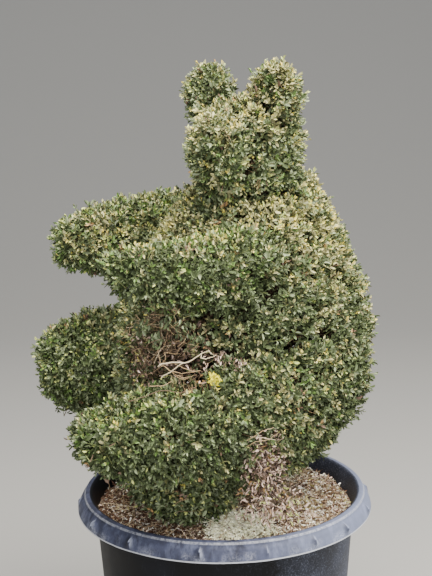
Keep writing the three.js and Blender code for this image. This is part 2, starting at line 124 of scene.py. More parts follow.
# The clipped masses, as in the solids, and the swells of their faces. deep, sage, fresh and straw
# are the weights of dark old, grey-green, new green and winter-tipped shoots, the last two at the
# mass's two ends. The swells are shares of the girth.
SWELL = {"ridges": 0.022, "bands": 0.018}
HEAD_TURN = 40
MASSES = [
    {"name": "left_leg", "parent": "left_leg_bough", "at": 1, "turn": 0, "bow": [12, 0, -38],
     "ends": [[146, 232, 706], [188, -337, 608]], "girth": [[80, 148], [84, 112], [76, 72]],
     "blunt": [2.6, 3.4], "fresh": [0.1, 0.5], "deep": 4.0, "straw": [0.36, 0.03], "sage": 0.5},
    {"name": "right_leg", "parent": "right_leg_bough", "at": 1, "turn": 0, "bow": [-12, 0, -14],
     "ends": [[-146, 222, 690], [-188, -314, 642]], "girth": [[80, 144], [84, 122], [78, 112]],
     "blunt": [2.6, 3.2], "fresh": [0.1, 0.4], "deep": 0.9, "straw": [0.3, 0.02], "sage": 0.75},
    {"name": "left_arm", "parent": "left_arm_bough", "at": 1, "turn": 0, "bow": [10, 0, -24],
     "ends": [[132, 86, 890], [150, -266, 898]], "girth": [[74, 98], [62, 76], [58, 52]],
     "blunt": [2.4, 3.4], "fresh": [0.4, 0.9], "deep": 2.6, "straw": [0.34, 0.08], "sage": 0.45},
    {"name": "right_arm", "parent": "right_arm_bough", "at": 1, "turn": 0, "bow": [-10, 0, 4],
     "ends": [[-132, 84, 902], [-140, -284, 888]], "girth": [[74, 96], [62, 80], [58, 66]],
     "blunt": [2.4, 3.2], "fresh": [0.2, 0.4], "deep": 0.6, "straw": [0.4, 0.14], "sage": 0.5},
    {"name": "snout", "parent": "snout_bough", "at": 1, "turn": HEAD_TURN, "bow": [0, 0, 0],
     "ends": [[30, 28, 1072], [112, -66, 1069]], "girth": [[62, 82], [64, 84], [60, 76]],
     "blunt": [2.6, 3], "fresh": [0.1, 0.15], "deep": 0.5, "straw": [0.4, 0.4], "sage": 0.45},
    {"name": "left_ear", "parent": "left_ear_bough", "at": 1, "turn": HEAD_TURN,
     "bow": [0, 0, 0], "ends": [[65, 82, 1098], [71, 88, 1230]],
     "girth": [[50, 38], [55, 39], [47, 34]], "blunt": [2.4, 2.8], "fresh": [0.1, 0.3],
     "deep": 0.4, "straw": [0.35, 0.55], "sage": 0.5},
    {"name": "right_ear", "parent": "right_ear_bough", "at": 1, "turn": HEAD_TURN,
     "bow": [0, 0, 0], "ends": [[-35, 0, 1098], [-43, -4, 1228]],
     "girth": [[52, 38], [58, 40], [50, 34]], "blunt": [2.4, 2.2], "fresh": [0.05, 0.05],
     "deep": 0.8, "straw": [0.12, 0.35], "sage": 2.0},
    {"name": "head", "parent": "trunk", "at": 1, "turn": HEAD_TURN, "bow": [0, 0, 0],
     "ends": [[16, 50, 976], [16, 44, 1174]], "girth": [[106, 100], [108, 105], [104, 98]],
     "blunt": [3.6, 2.6], "fresh": [0.1, 0.15], "deep": 0.55, "straw": [0.36, 0.46], "sage": 0.7},
    {"name": "seat", "parent": "trunk", "at": 0.12, "turn": 0, "bow": [0, 0, 0],
     "ends": [[42, -110, 390], [30, -40, 640]], "girth": [[122, 116], [126, 126], [110, 120]],
     "blunt": [3.2, 2.4], "fresh": [0.1, 0.15], "deep": 1.1, "straw": [0.06, 0.1], "sage": 0.8},
    {"name": "torso", "parent": "trunk", "at": 0.5, "turn": 0, "bow": [0, 12, 0],
     "ends": [[0, -14, 472], [0, 91, 1067]], "girth": [[212, 226], [216, 241], [122, 146]],
     "blunt": [4.2, 2.5], "fresh": [0.05, 0.1], "deep": 0.8, "straw": [0.28, 0.56], "sage": 0.55},
]

# Foliage: a shoot carries crosswise pairs of leaves, the youngest pair at its tip. A shoot
# stands for one of the real ones, and its leaves are near life size. depth is a pair's place
# below the tip. Folds are how far a leaf is cupped along its midrib, and their shares.
SHOOT_AREA = 74
SHOOT_LENGTH = 34
PAIRS = [
    {"angle": 20, "length": 7.5, "depth": 4},
    {"angle": 42, "length": 10, "depth": 9},
    {"angle": 58, "length": 11.5, "depth": 15},
    {"angle": 68, "length": 12, "depth": 22},
]
LEAF_WIDTH = 0.44
LEAF_SIZES = (0.75, 1.22)
LEAF_FOLDS = ([1.0, 2.0, -0.8], [0.5, 0.25, 0.25])
LOOSE_FOLDS = [1.0, 2.5, -2.0]
LEAF_TILT_SPREAD = 12
STRAY_TONE_SHARE = 0.22
LOST_LEAF_SHARE = 0.05
INNER_SHARE = 0.6
INNER_DEPTH = (32, 56)
INNER_LENGTH = 15
INNER_SIZES = (0.7, 1.2)
INNER_TONES = {"deep": 0.5, "moss": 0.3, "brown": 0.2}

# The clipped skin: shoot tips lie a little under the mass's face, deeper in hollows and in the
# creases between masses, and whiskers stand out of it. MASS_GAP is how far into another mass a tip
# may reach, as a share of that mass, and the clearances keep tips out of the soil and the pot.
SKIN_DEPTH = 3.5
SKIN_JITTER = 4.4
DEEPEST_TIP = 20
PROUDEST_TIP = 4
HOLLOWS = [{"depth": 7, "size": 40, "seed": 21}, {"depth": 6, "size": 17, "seed": 22}]
CREASE_DEPTH = 5
CREASE_START = 0.96
CREASE_REACH = 0.16
WHISKER_SHARE = 0.05
OVERREACH = 10
SHOOT_SPREAD = 0.3
SHOOT_LIFT = 0.22
MASS_GAP = -0.035
SOIL_CLEARANCE = 3
RIM_CLEARANCE = 4
WALL_CLEARANCE = 12

# Twigs inside a mass: a stem to its heart, forks, sprigs and a twig up each shoot. The radii
# are those at a twig's two ends.
SPRIG_DEPTH = 48
SHOOTS_PER_SPRIG = 9
SPRIGS_PER_FORK = 9
STEM_RADII = (6.0, 4.4)
FORK_RADII = (4.0, 2.8)
SPRIG_RADII = (2.6, 1.6)
SPUR_RADII = (1.4, 0.9)
LEAFY_RADII = (0.9, 0.6)
BARE_RADII = (0.9, 0.5)
MOST_TRIANGLES = 190000

# Bare patches, where clipping and shade have left dead twigs and few leaves: the middle, and the
# half sizes along the photograph's width, into the plant, and up. dead is the area for each dead
# leaf, tones are the shares of those leaves' tones, and least is the share of shoots that keep
# their leaves in the middle. Going out, leaves start at the edge, a share of a patch's size, and
# are full after the fade. Pin holes are small gaps in the leaves: a place and a radius.
DEAD_LEAF_LENGTH = (6, 11)
DEAD_LEAF_DEPTH = (4, 50)
DEAD_LEAF_REACH = 1.05
DEAD_LEAF_GAP = -0.1
DEAD_TWIG_LENGTH = (18, 62)
DEAD_TWIG_RADIUS = (0.35, 0.85)
DEAD_TWIG_STEPS = 5
DEAD_TWIG_REACH = 1.15
DEAD_TWIG_TONES = {"brown": 0.55, "tan": 0.33, "pale": 0.12}
PATCH_EDGE = 0.72
PATCH_FADE = 0.36
PATCH_RAGGED = 0.28
HOLE_EDGE = 0.7
HOLE_FADE = 0.4
BARE_PATCHES = [
    {"name": "lap", "masses": ["torso", "seat", "right_leg"], "middle": [150, -159, 722],
     "half": [98, 150, 52], "twigs": 84, "dead": 28,
     "tones": {"umber": 0.4, "brown": 0.32, "bronze": 0.04, "blush": 0.12, "deep": 0.12}},
    {"name": "lap_edge", "masses": ["left_leg"], "middle": [199, -140, 704],
     "half": [52, 70, 15], "twigs": 10, "dead": 50,
     "tones": {"brown": 0.45, "bronze": 0.15, "blush": 0.1, "deep": 0.3}},
    {"name": "haunch", "masses": ["left_leg", "torso", "seat"], "middle": [200, 4, 530],
     "half": [43, 110, 88], "twigs": 70, "dead": 12,
     "tones": {"blush": 0.46, "silver": 0.1, "brown": 0.18, "umber": 0.26}},
    {"name": "arm_under", "masses": ["left_arm"], "middle": [181, -181, 802],
     "half": [50, 90, 36], "twigs": 84, "dead": 22, "least": 0.34,
     "tones": {"umber": 0.35, "brown": 0.35, "bronze": 0.2, "blush": 0.1}},
    {"name": "belly", "masses": ["torso"], "middle": [165, -170, 768],
     "half": [80, 150, 42], "twigs": 96, "dead": 32, "least": 0.36,
     "tones": {"umber": 0.4, "brown": 0.3, "bronze": 0.05, "blush": 0.05, "deep": 0.2}},
    {"name": "seat_front", "masses": ["seat"], "middle": [180, -150, 470],
     "half": [26, 60, 20], "twigs": 10, "dead": 26,
     "tones": {"brown": 0.5, "bronze": 0.3, "blush": 0.2}},
]
PIN_HOLES = [
    [112, 74, 1196, 15], [116, 28, 1047, 17], [222, -14, 812, 14], [217, 0, 584, 15],
    [168, 41, 935, 17], [256, -21, 592, 17], [241, 89, 636, 15], [150, 172, 861, 15],
    [157, 108, 902, 17], [116, 43, 1102, 13], [109, 89, 1032, 16], [253, -64, 570, 15],
    [224, -22, 534, 17], [133, -19, 1106, 14], [204, 12, 867, 14], [248, 38, 607, 15],
    [259, -193, 629, 15], [263, -137, 633, 13], [232, 106, 699, 15], [240, 52, 696, 14],
    [210, 67, 768, 15], [205, 49, 527, 13],
]
GOLD_SPOT = {"middle": [222, -95, 710], "half": 9}

# Where the plant has a colour of its own, or where shade is painted in: the middle, the half sizes
# across the view, into it and up, and what the weights of the families are multiplied by.
TONE_SPOTS = [
    {"masses": ["torso"], "middle": [125, 205, 880], "half": [90, 150, 210],
     "shift": {"straw": 1.9, "khaki": 1.5, "deep": 4.0}},
    {"masses": ["torso"], "middle": [150, 70, 960], "half": [130, 130, 66],
     "shift": {"straw": 6.0, "khaki": 2.8, "deep": 0.4, "moss": 0.4}},
    # Between the arm and the leg the dark families weigh more: painted shade.
    {"masses": ["torso", "left_arm"], "middle": [204, 20, 790], "half": [110, 90, 64],
     "shift": {"sage": 1.5, "deep": 4.5, "straw": 0.4, "khaki": 0.6, "fresh": 0.4, "lime": 0.4}},
    {"masses": ["left_arm"], "middle": [206, -160, 890], "half": [100, 90, 40],
     "shift": {"fresh": 2.2, "moss": 2.2, "deep": 3.2, "straw": 0.05, "khaki": 0.1, "sage": 0.4,
               "silver": 0.15, "lime": 0.4}},
    {"masses": ["left_arm"], "middle": [170, -130, 952], "half": [110, 110, 22],
     "shift": {"straw": 10, "khaki": 3.0, "lime": 6.0, "deep": 0.2, "moss": 0.3}},
    {"masses": ["left_leg"], "middle": [215, -250, 668], "half": [80, 110, 26],
     "shift": {"lime": 3.0, "straw": 2.5, "deep": 0.8}},
    {"masses": ["left_leg"], "middle": [250, -190, 600], "half": [130, 130, 60],
     "shift": {"sage": 0.8, "moss": 1.5, "deep": 2.0, "lime": 0.4, "silver": 0.4, "khaki": 0.5,
               "straw": 0.2}},
    {"masses": ["left_leg"], "middle": [214, -110, 520], "half": [90, 110, 46],
     "shift": {"brown": 5.0, "sage": 1.6, "silver": 2.0, "deep": 0.5}},
    {"masses": ["left_leg"], "middle": [226, 40, 730], "half": [110, 110, 60],
     "shift": {"khaki": 3.0, "straw": 3.4, "lime": 1.8, "deep": 0.55}},
    {"masses": ["left_leg"], "middle": [242, 60, 600], "half": [110, 110, 70],
     "shift": {"sage": 1.7, "khaki": 1.8, "straw": 2.2, "deep": 0.7}},
    {"masses": ["seat"], "middle": [150, -110, 480], "half": [130, 130, 60],
     "shift": {"brown": 5.0, "fresh": 0.3, "lime": 0.2, "silver": 3.0, "sage": 1.6, "deep": 0.5}},
    {"masses": ["snout", "head"], "middle": [111, -10, 1138], "half": [60, 70, 22],
     "shift": {"straw": 3.0, "khaki": 2.0, "deep": 0.3, "moss": 0.5}},
    {"masses": ["snout"], "middle": [138, -31, 1060], "half": [40, 50, 50],
     "shift": {"fresh": 3.0, "moss": 1.6, "straw": 0.4, "khaki": 0.6}},
    {"masses": ["right_ear"], "middle": [-2, -16, 1172], "half": [34, 50, 34],
     "shift": {"deep": 2.5, "silver": 2.5, "straw": 0.1, "khaki": 0.1, "lime": 0.1}},
    {"masses": ["left_ear"], "middle": [77, 53, 1192], "half": [18, 26, 16],
     "shift": {"fresh": 10, "lime": 8, "straw": 0.3, "sage": 0.3}},
    # Under the chin: brown dead leaves, with brown and dark families weighed up as painted shade.
    {"masses": ["torso"], "middle": [102, -40, 974], "half": [34, 60, 30],
     "shift": {"brown": 14, "deep": 2.0, "bronze": 3.0, "straw": 0.4, "khaki": 0.5}},
    {"masses": ["right_leg"], "middle": [-150, -270, 700], "half": [70, 90, 60],
     "shift": {"silver": 1.6, "fresh": 1.4, "lime": 1.6}},
]

# The long dead twigs across the lap and the haunch, each at one distance into the plant along
# the photograph's view, and through places given as (to the photograph's right, up).
LAID_TWIGS = [
    {"away": -225, "thick": 1.6, "tone": "pale",
     "line": [[-110, 726], [-102, 732], [-81, 735], [-66, 733], [-51, 739], [-37, 747],
              [-24, 753]]},
    {"away": -228, "thick": 1.1, "tone": "pale",
     "line": [[-37, 748], [-34, 741], [-22, 742], [-11, 745]]},
    {"away": -226, "thick": 0.8, "tone": "pale", "line": [[-24, 753], [-14, 745]]},
    {"away": -232, "thick": 1.1, "tone": "pale",
     "line": [[-104, 709], [-87, 721], [-73, 732], [-67, 735]]},
    {"away": -224, "thick": 1.1, "tone": "tan",
     "line": [[-108, 728], [-100, 727], [-87, 719], [-68, 715], [-51, 716], [-37, 718]]},
    {"away": -226, "thick": 0.9, "tone": "tan",
     "line": [[-81, 731], [-68, 725], [-53, 719], [-40, 717]]},
    {"away": -223, "thick": 1.0, "tone": "tan",
     "line": [[-87, 716], [-79, 710], [-63, 707], [-46, 710]]},
    {"away": -224, "thick": 0.9, "tone": "tan", "line": [[-84, 712], [-72, 705], [-56, 705]]},
    {"away": -255, "thick": 0.9, "tone": "tan",
     "line": [[-124, 701], [-107, 702], [-96, 705], [-86, 709]]},
    {"away": -268, "thick": 1.0, "tone": "brown",
     "line": [[-160, 679], [-137, 686], [-114, 694], [-98, 699], [-76, 694], [-60, 697],
              [-50, 701]]},
    {"away": -224, "thick": 1.0, "tone": "tan",
     "line": [[-105, 728], [-107, 740], [-110, 754], [-116, 767]]},
    {"away": -218, "thick": 0.8, "tone": "tan",
     "line": [[-103, 729], [-97, 742], [-98, 749], [-73, 746]]},
    {"away": -214, "thick": 0.8, "tone": "brown", "line": [[-86, 784], [-86, 758], [-88, 747]]},
    {"away": -214, "thick": 0.7, "tone": "tan", "line": [[-54, 750], [-42, 762], [-35, 766]]},
    {"away": -250, "thick": 0.9, "tone": "tan",
     "line": [[22, 596], [44, 604], [62, 616], [84, 622]]},
    {"away": -250, "thick": 0.8, "tone": "tan",
     "line": [[36, 588], [56, 600], [76, 603], [92, 612]]},
    {"away": -248, "thick": 0.7, "tone": "pale", "line": [[44, 606], [60, 606], [88, 599]]},
]
LAID_STEPS = 14
LAID_WOBBLE = 0.5
LAID_BOW = 6
LAID_TAPER = 0.45

# Clusters of leaves that hang in the bare patches: places and half sizes along the photograph's
# width, into the plant, and up. stray turns the leaves from straight down, size is the range of
# their lengths, and width is a share of the length.
DROOPING = {"stray": 0.42, "size": (4, 8), "width": 0.36}
SPRIG = {"stray": 0.55, "size": (8, 13), "width": 0.44,
         "tones": {"deep": 0.56, "moss": 0.34, "sage": 0.1}}
SHRED = {"stray": 1.0, "size": (5, 14), "width": 0.2,
         "tones": {"blush": 0.38, "bronze": 0.07, "silver": 0.1, "brown": 0.17, "umber": 0.28}}
HANGING_LEAVES = [
    {**DROOPING, "middle": [-28, -230, 728], "half": [9, 8, 9], "count": 14,
     "tones": {"blush": 0.5, "brown": 0.5}},
    {**DROOPING, "middle": [-2, -234, 744], "half": [14, 8, 12], "count": 44,
     "tones": {"blush": 0.4, "brown": 0.4, "umber": 0.2}},
    {**DROOPING, "middle": [26, -242, 738], "half": [16, 8, 12], "count": 40,
     "tones": {"blush": 0.4, "brown": 0.4, "umber": 0.2}},
    {**DROOPING, "middle": [-140, -208, 722], "half": [24, 20, 46], "count": 110,
     "tones": {"umber": 0.6, "brown": 0.32, "blush": 0.08}},
    {**SPRIG, "middle": [-134, -228, 796], "half": [13, 10, 22], "count": 36},
    {**SPRIG, "middle": [-112, -230, 778], "half": [15, 9, 15], "count": 30},
    {**SPRIG, "middle": [-62, -228, 794], "half": [20, 10, 18], "count": 40},
    {**SPRIG, "middle": [-92, -226, 806], "half": [14, 9, 12], "count": 22},
    {**SPRIG, "middle": [-34, -228, 776], "half": [12, 9, 14], "count": 22},
    {**DROOPING, "middle": [-12, -244, 710], "half": [12, 5, 8], "count": 44, "stray": 2,
     "tones": {"gold": 1.0}},
    {**SHRED, "middle": [62, -206, 574], "half": [30, 26, 28], "count": 130,
     "tones": {"blush": 0.4, "bronze": 0.06, "silver": 0.1, "brown": 0.2, "umber": 0.24}},
    {**SHRED, "middle": [66, -204, 526], "half": [42, 34, 30], "count": 240},
    {**SHRED, "middle": [76, -196, 480], "half": [60, 40, 28], "count": 300},
    {**SHRED, "middle": [84, -190, 446], "half": [72, 44, 20], "count": 280, "stray": 1.4,
     "tones": {"blush": 0.56, "silver": 0.1, "brown": 0.2, "umber": 0.14}},
]

# The pot's detail: the most of an edge that a rounded corner takes, the skirt's line as (height,
# radius) places, the buckles in the skirt, each a crease at its own angle, and the recesses
# round the foot.
POT_SIDES = 720
SOIL_SIDES = 200
MOST_BEND = 0.45
SKIRT_LINE = [[388, 281], [392, 280.4], [400, 277.6], [409, 273.4], [416, 268.4]]
BUCKLES = [-58, -30, -5.5, 14, 31, 52, 74, 96, 121, 144, 163, 187, 209, 232, 254, 279]
BUCKLE_HEIGHT = 8
BUCKLE_WIDTH = 12
BUCKLE_TOP = 414
BUCKLE_FOOT = 390
HEM_HEIGHT = 389
HEM_FADE = 14
PUSH_STEP = 0.45
RECESS = {"count": 8, "radius": 9, "depth": 8, "height": 17, "proud": 2.5}

# The root flare's ridges, each through (outwards, upwards) places, and how fine the bark is cut.
ROOT_RIDGES = 5
ROOT_LINE = [[10, 92], [20, 46], [31, 14], [40, -3]]
ROOT_RADII = (9, 6.5)
BARK_GRID = 2.2

# The litter: the area for each dead leaf, the sizes of leaves and twigs, how far it keeps from the
# trunk and from the wall, and the colours of dead leaves with their weights. Brown ones are dealt
# more thickly under the seat, on the left as the camera sees it and in shaded patches, as painted
# shade. The pale patch has shreds on it too.
LITTER_AREA = 8.5
LITTER_LENGTH = (3.5, 11)
LITTER_WIDTH = (0.16, 0.4)
LITTER_FOOT = 44
LITTER_EDGE = 5
LITTER_TWIGS = 2200
LITTER_TWIG_LENGTH = (12, 46)
LITTER_TWIG_RADIUS = (0.35, 0.9)
LITTER_TWIG_STEPS = 3
LITTER_TWIG_TONES = {"brown": 0.35, "tan": 0.35, "pale": 0.3}
LITTER = {
    "pinkish": ("e6cdbe", 0.25),
    "tan": ("d6bf9f", 0.19),
    "cream": ("fffaee", 0.3),
    "brown": ("634839", 0.3),
    "olive": ("c9bf82", 0.06),
    "pale": ("fffee2", 0.03),
}
PALE_PATCH = {"middle": [158, -30], "half": [40, 70], "turn": 78, "share": 0.93}
OLIVE_PATCH = {"middle": [100, 118], "half": [34, 46], "turn": 70, "share": 0.4}
DARK_SHARE = 0.55
DARK_SIDE = -60
SHREDS_EACH = 6
SHRED_LENGTH = (4, 10)
SHRED_WIDTH = 0.34
SHRED_TONES = {"pale": 0.88, "cream": 0.08, "brown": 0.04}

# Leaf colours in sRGB, each with the two that a stray leaf among its kind may have.
LEAF_TONES = {
    "deep": ("434c32", "moss", "moss"),
    "moss": ("5d6a46", "deep", "sage"),
    "olive": ("72704f", "deep", "khaki"),
    "sage": ("848e6c", "moss", "silver"),
    # silver, the palest green, is a waxy leaf whose lightness also paints the wax's sheen: a
    # painted highlight.
    "silver": ("c3c97a", "sage", "silver"),
    "fresh": ("617b40", "moss", "lime"),
    "lime": ("b0b96c", "fresh", "khaki"),
    "khaki": ("aeaa78", "sage", "lime"),
    "straw": ("eddd76", "khaki", "lime"),
    "bronze": ("b08c5c", "khaki", "moss"),
    "brown": ("796353", "deep", "moss"),
    "gold": ("dfd62c", "gold", "lime"),
    "blush": ("dcc0b0", "straw", "brown"),
    "umber": ("47372e", "brown", "deep"),
}
TWIG_TONES = {"green": "6f7746", "brown": "5d4a39", "tan": "a48a68", "pale": "d3c2a2"}

# The number of each tone's material.
LEAF = {name: number for number, name in enumerate(LEAF_TONES)}
TWIG = {name: number for number, name in enumerate(TWIG_TONES)}
LITTER_TONE = {name: number for number, name in enumerate(LITTER)}
NEIGHBOUR_TONES = np.array([[LEAF[a], LEAF[b]] for _, a, b in LEAF_TONES.values()])

# A family gives the tone of each pair of leaves on a shoot, from the tip inwards. In a crease
# between two masses its weight grows by so many times: dark families gain and light ones lose,
# which paints shade into the creases.
FAMILIES = {
    "deep": ["moss", "deep", "deep", "deep"],
    "moss": ["sage", "moss", "moss", "deep"],
    "olive": ["khaki", "olive", "olive", "deep"],
    "sage": ["sage", "sage", "moss", "moss"],
    "silver": ["silver", "sage", "sage", "moss"],
    "fresh": ["fresh", "fresh", "moss", "moss"],
    "lime": ["lime", "fresh", "moss", "deep"],
    "khaki": ["khaki", "khaki", "olive", "olive"],
    "straw": ["straw", "khaki", "khaki", "olive"],
    "bronze": ["bronze", "khaki", "moss", "deep"],
    "brown": ["brown", "bronze", "brown", "deep"],
    "gold": ["gold", "gold", "gold", "gold"],
}
FAMILY_TONES = np.array([[LEAF[name] for name in row] for row in FAMILIES.values()])
GOLD_FAMILY = list(FAMILIES).index("gold")
CREASE_SHIFT = {
    "deep": 4, "moss": 0.6, "olive": 0.2, "sage": -0.3, "silver": -0.7, "fresh": -0.5,
    "lime": -0.7, "khaki": -0.6, "straw": -0.8, "bronze": -0.3, "brown": 0.5,
}


def linear(code):
    """An sRGB hex colour as the linear values that a shader takes."""
    values = [int(code[i:i + 2], 16) / 255 for i in (0, 2, 4)]
    return [v / 12.92 if v <= 0.04045 else ((v + 0.055) / 1.055) ** 2.4 for v in values] + [1.0]


def unit(rows):
    """Each row of an array, at length 1."""
    return rows / np.maximum(np.linalg.norm(rows, axis=-1, keepdims=True), 1e-9)


def along(values, t):
    """A value that runs through a short list as t goes from 0 to 1."""
    return np.interp(t, np.linspace(0, 1, len(values)), values)


def spline(points, t):
    """Points along a centripetal curve through a few given ones, t from 0 to 1."""
    points = np.array(points, float)
    padded = np.vstack([2 * points[0] - points[1], points, 2 * points[-1] - points[-2]])
    place = np.clip(t, 0, 1) * (len(points) - 1)
    first = np.minimum(place.astype(int), len(points) - 2)
    u = (place - first)[:, None]
    a, b, c, d = (padded[first + k] for k in range(4))
    return 0.5 * (2 * b + (c - a) * u + (2 * a - 5 * b + 4 * c - d) * u ** 2
                  + (3 * b - a - 3 * c + d) * u ** 3)


def soil_height(radius):
    """The height of the soil at a distance from the pot's middle."""
    share = np.clip((radius - SOIL_SEAT_RADIUS) / (SOIL_EDGE_RADIUS - SOIL_SEAT_RADIUS), 0, 1)
    return SOIL_TOP - SOIL_HEAP * share ** 3 * (share * (share * 6 - 15) + 10)


def ripple(points, size, seed):
    """A slow smooth variation over space, about -1 to 1, with swells of about the given size."""
    random = np.random.default_rng(seed)
    waves = unit(random.normal(size=(6, 3))) * random.uniform(0.7, 1.4, (6, 1)) * math.tau / size
    return np.sin(points @ waves.T + random.uniform(0, math.tau, 6)).sum(axis=-1) / 2.2


class Mass:
    """A clipped mass: a ball drawn out along a bowed line, with its own girth and blunt ends."""

    def __init__(self, spec):
        self.name = spec["name"]
        self.spec = spec
        self.start = np.array(spec["ends"][0], float)
        end = np.array(spec["ends"][1], float)
        self.length = np.linalg.norm(end - self.start)
        self.axis = (end - self.start) / self.length
        turn = math.radians(spec["turn"])
        left = np.array([math.cos(turn), math.sin(turn), 0])
        self.across = unit(left - left @ self.axis * self.axis)
        self.deep = np.cross(self.axis, self.across)
        self.bow = np.array(spec["bow"], float)
        self.phase = spec["ends"][0][0] / 20 + spec["ends"][1][2] / 100

    def centre(self, w):
        """The middle of the mass at w, which runs from -1 to 1 between its ends."""
        w = np.asarray(w, float)[..., None]
        return self.start + self.axis * (w + 1) / 2 * self.length + self.bow * (1 - w * w)

    def half(self, w, way, grow):
        """Half the girth at w, across (way 0) or deep (way 1)."""
        return along([pair[way] for pair in self.spec["girth"]], (w + 1) / 2) + grow

    def power(self, w):
        """How blunt the end is that w belongs to."""
        return np.where(w < 0, *self.spec["blunt"])

    def swell(self, w, angle):
        """The slight swells that shears leave."""
        ridges = SWELL["ridges"] * np.sin(3 * angle + self.phase + 2 * w)
        return 1 + ridges + SWELL["bands"] * np.sin(5 * w + 2 * angle)

    def surface(self, w, angle, grow=0.0):
        """Points on the clipped face, or so many millimetres out of it."""
        w, angle, grow = np.broadcast_arrays(w, angle, grow)
        power = self.power(w)
        ring = np.maximum(0, 1 - np.abs(w) ** power) ** (1 / power) * self.swell(w, angle)
        return (
            self.centre(w) + self.axis * (w * grow)[..., None]
            + self.across * (np.cos(angle) * ring * self.half(w, 0, grow))[..., None]
            + self.deep * (np.sin(angle) * ring * self.half(w, 1, grow))[..., None]
        )

    def outward(self, w, angle):
        """The way that the clipped surface faces."""
        step = 0.01
        along_w = self.surface(np.minimum(w + step, 1), angle) - self.surface(
            np.maximum(w - step, -1), angle)
        around = self.surface(w, angle + step) - self.surface(w, angle - step)
        return unit(np.cross(around, along_w))

    def share(self, points, grow=0.0):
        """Under 1 for points inside the mass grown by so many millimetres."""
        half = self.length / 2
        w = ((points - self.start) @ self.axis - half) / (half + grow)
        inner = np.clip(w, -1, 1)
        offset = points - self.centre(inner * (half + grow) / half)
        x = offset @ self.across / self.half(inner, 0, grow)
        y = offset @ self.deep / self.half(inner, 1, grow)
        power = self.power(w)
        ring = np.hypot(x, y) / self.swell(inner, np.arctan2(y, x))
        return (ring ** power + np.abs(w) ** power) ** (1 / power)

    def places(self, area_each, random):
        """Places spread evenly over the surface, each with about the given area to itself."""
        w = np.linspace(-1, 1, 121)
        angle = np.linspace(0, math.tau, 97)
        grid = self.surface(w[:, None], angle[None, :])
        up = grid[1:, :-1] - grid[:-1, :-1]
        side = grid[:-1, 1:] - grid[:-1, :-1]
        cells = np.linalg.norm(np.cross(up, side), axis=-1)
        bands = cells.sum(axis=1)
        total = bands.sum()
        count = int(total / area_each)
        shares = (np.arange(count) + 0.5) / count
        reached = np.concatenate([[0], np.cumsum(bands)]) / total
        place = np.interp(shares, reached, w)
        band = np.clip(np.searchsorted(w, place) - 1, 0, len(bands) - 1)
        round_shares = np.hstack([np.zeros((len(bands), 1)), np.cumsum(cells, axis=1)])
        round_shares /= np.maximum(round_shares[:, -1:], 1e-9)
        wanted = (np.arange(count) * GOLDEN_SHARE + random.uniform(-0.004, 0.004, count)) % 1
        angles = np.array([np.interp(s, round_shares[b], angle) for s, b in zip(wanted, band)])
        place = np.clip(place + random.normal(0, 4 / self.length, count), -0.995, 0.995)
        return place, angles


MASS_LIST = [Mass(spec) for spec in MASSES]


# Materials
def add_node(tree, kind, settings):
    """Adds one shader node with its settings and links, and returns its outputs.

    A setting is a socket, by name or number, or else a property of the node. It takes a value,
    or another node's output, which is linked to it.
    """
    node = tree.nodes.new(kind)
    for name, value in settings.items():
        if isinstance(value, bpy.types.NodeSocket):
            tree.links.new(value, node.inputs[name])
        elif isinstance(name, int) or name in node.inputs:
            node.inputs[name].default_value = value
        else:
            setattr(node, name, value)
    return node.outputs


def paint(tree, under, over, strength, *masks):
    """Lays one colour over another, each a hex code or a node's output.

    Each mask is (pattern, low, high): the colour doesn't show where the pattern is at low, and
    shows at full strength where it is at high.
    """
    share = strength
    for pattern, low, high in masks:
        share = add_node(tree, "ShaderNodeMapRange", {
            "Value": pattern, "From Min": low, "From Max": high, "To Max": share})["Result"]
    first, second = (linear(each) if isinstance(each, str) else each for each in (under, over))
    return add_node(tree, "ShaderNodeMixRGB", {
        "Fac": share, "Color1": first, "Color2": second})["Color"]


def set_surface(tree, sockets, colour, relief, depth, strength=1.0):
    """Gives a shader its painted colour, and bump that is so many millimetres deep."""
    bump = add_node(tree, "ShaderNodeBump", {
        "Height": relief, "Distance": depth * MM, "Strength": strength})
    tree.links.new(bump["Normal"], sockets["Normal"])
    tree.links.new(colour, sockets["Base Color"])


def new_material(name, base, roughness, specular=0.5):
    """A material with one Principled shader, and its tree and the shader's sockets."""
    material = bpy.data.materials.new(name)
    material.use_nodes = True
    sockets = material.node_tree.nodes["Principled BSDF"].inputs
    sockets["Base Color"].default_value = linear(base)
    sockets["Roughness"].default_value = roughness
    sockets["Specular IOR Level"].default_value = specular
    material.diffuse_color = linear(base)
    return material, material.node_tree, sockets


def leaf_material(name, code):
    """A box leaf: leathery, with a thin wax that gives it a soft grey shine from the sky."""
    return new_material(f"box_leaf_{name}", code, 0.5, 0.3)[0]


def twig_material(name, code):
    """A box twig, young and green or dead and bare: dry and matt."""
    return new_material(f"twig_{name}", code, 0.82)[0]


def litter_material(name, code):
    """A dead box leaf: dry, matt and papery."""
    return new_material(f"litter_{name}", code, 0.85, 0.2)[0]


LEAF_MATERIALS = [leaf_material(name, code) for name, (code, *_) in LEAF_TONES.items()]
TWIG_MATERIALS = [twig_material(name, code) for name, code in TWIG_TONES.items()]
LITTER_MATERIALS = [litter_material(name, code) for name, (code, _) in LITTER.items()]


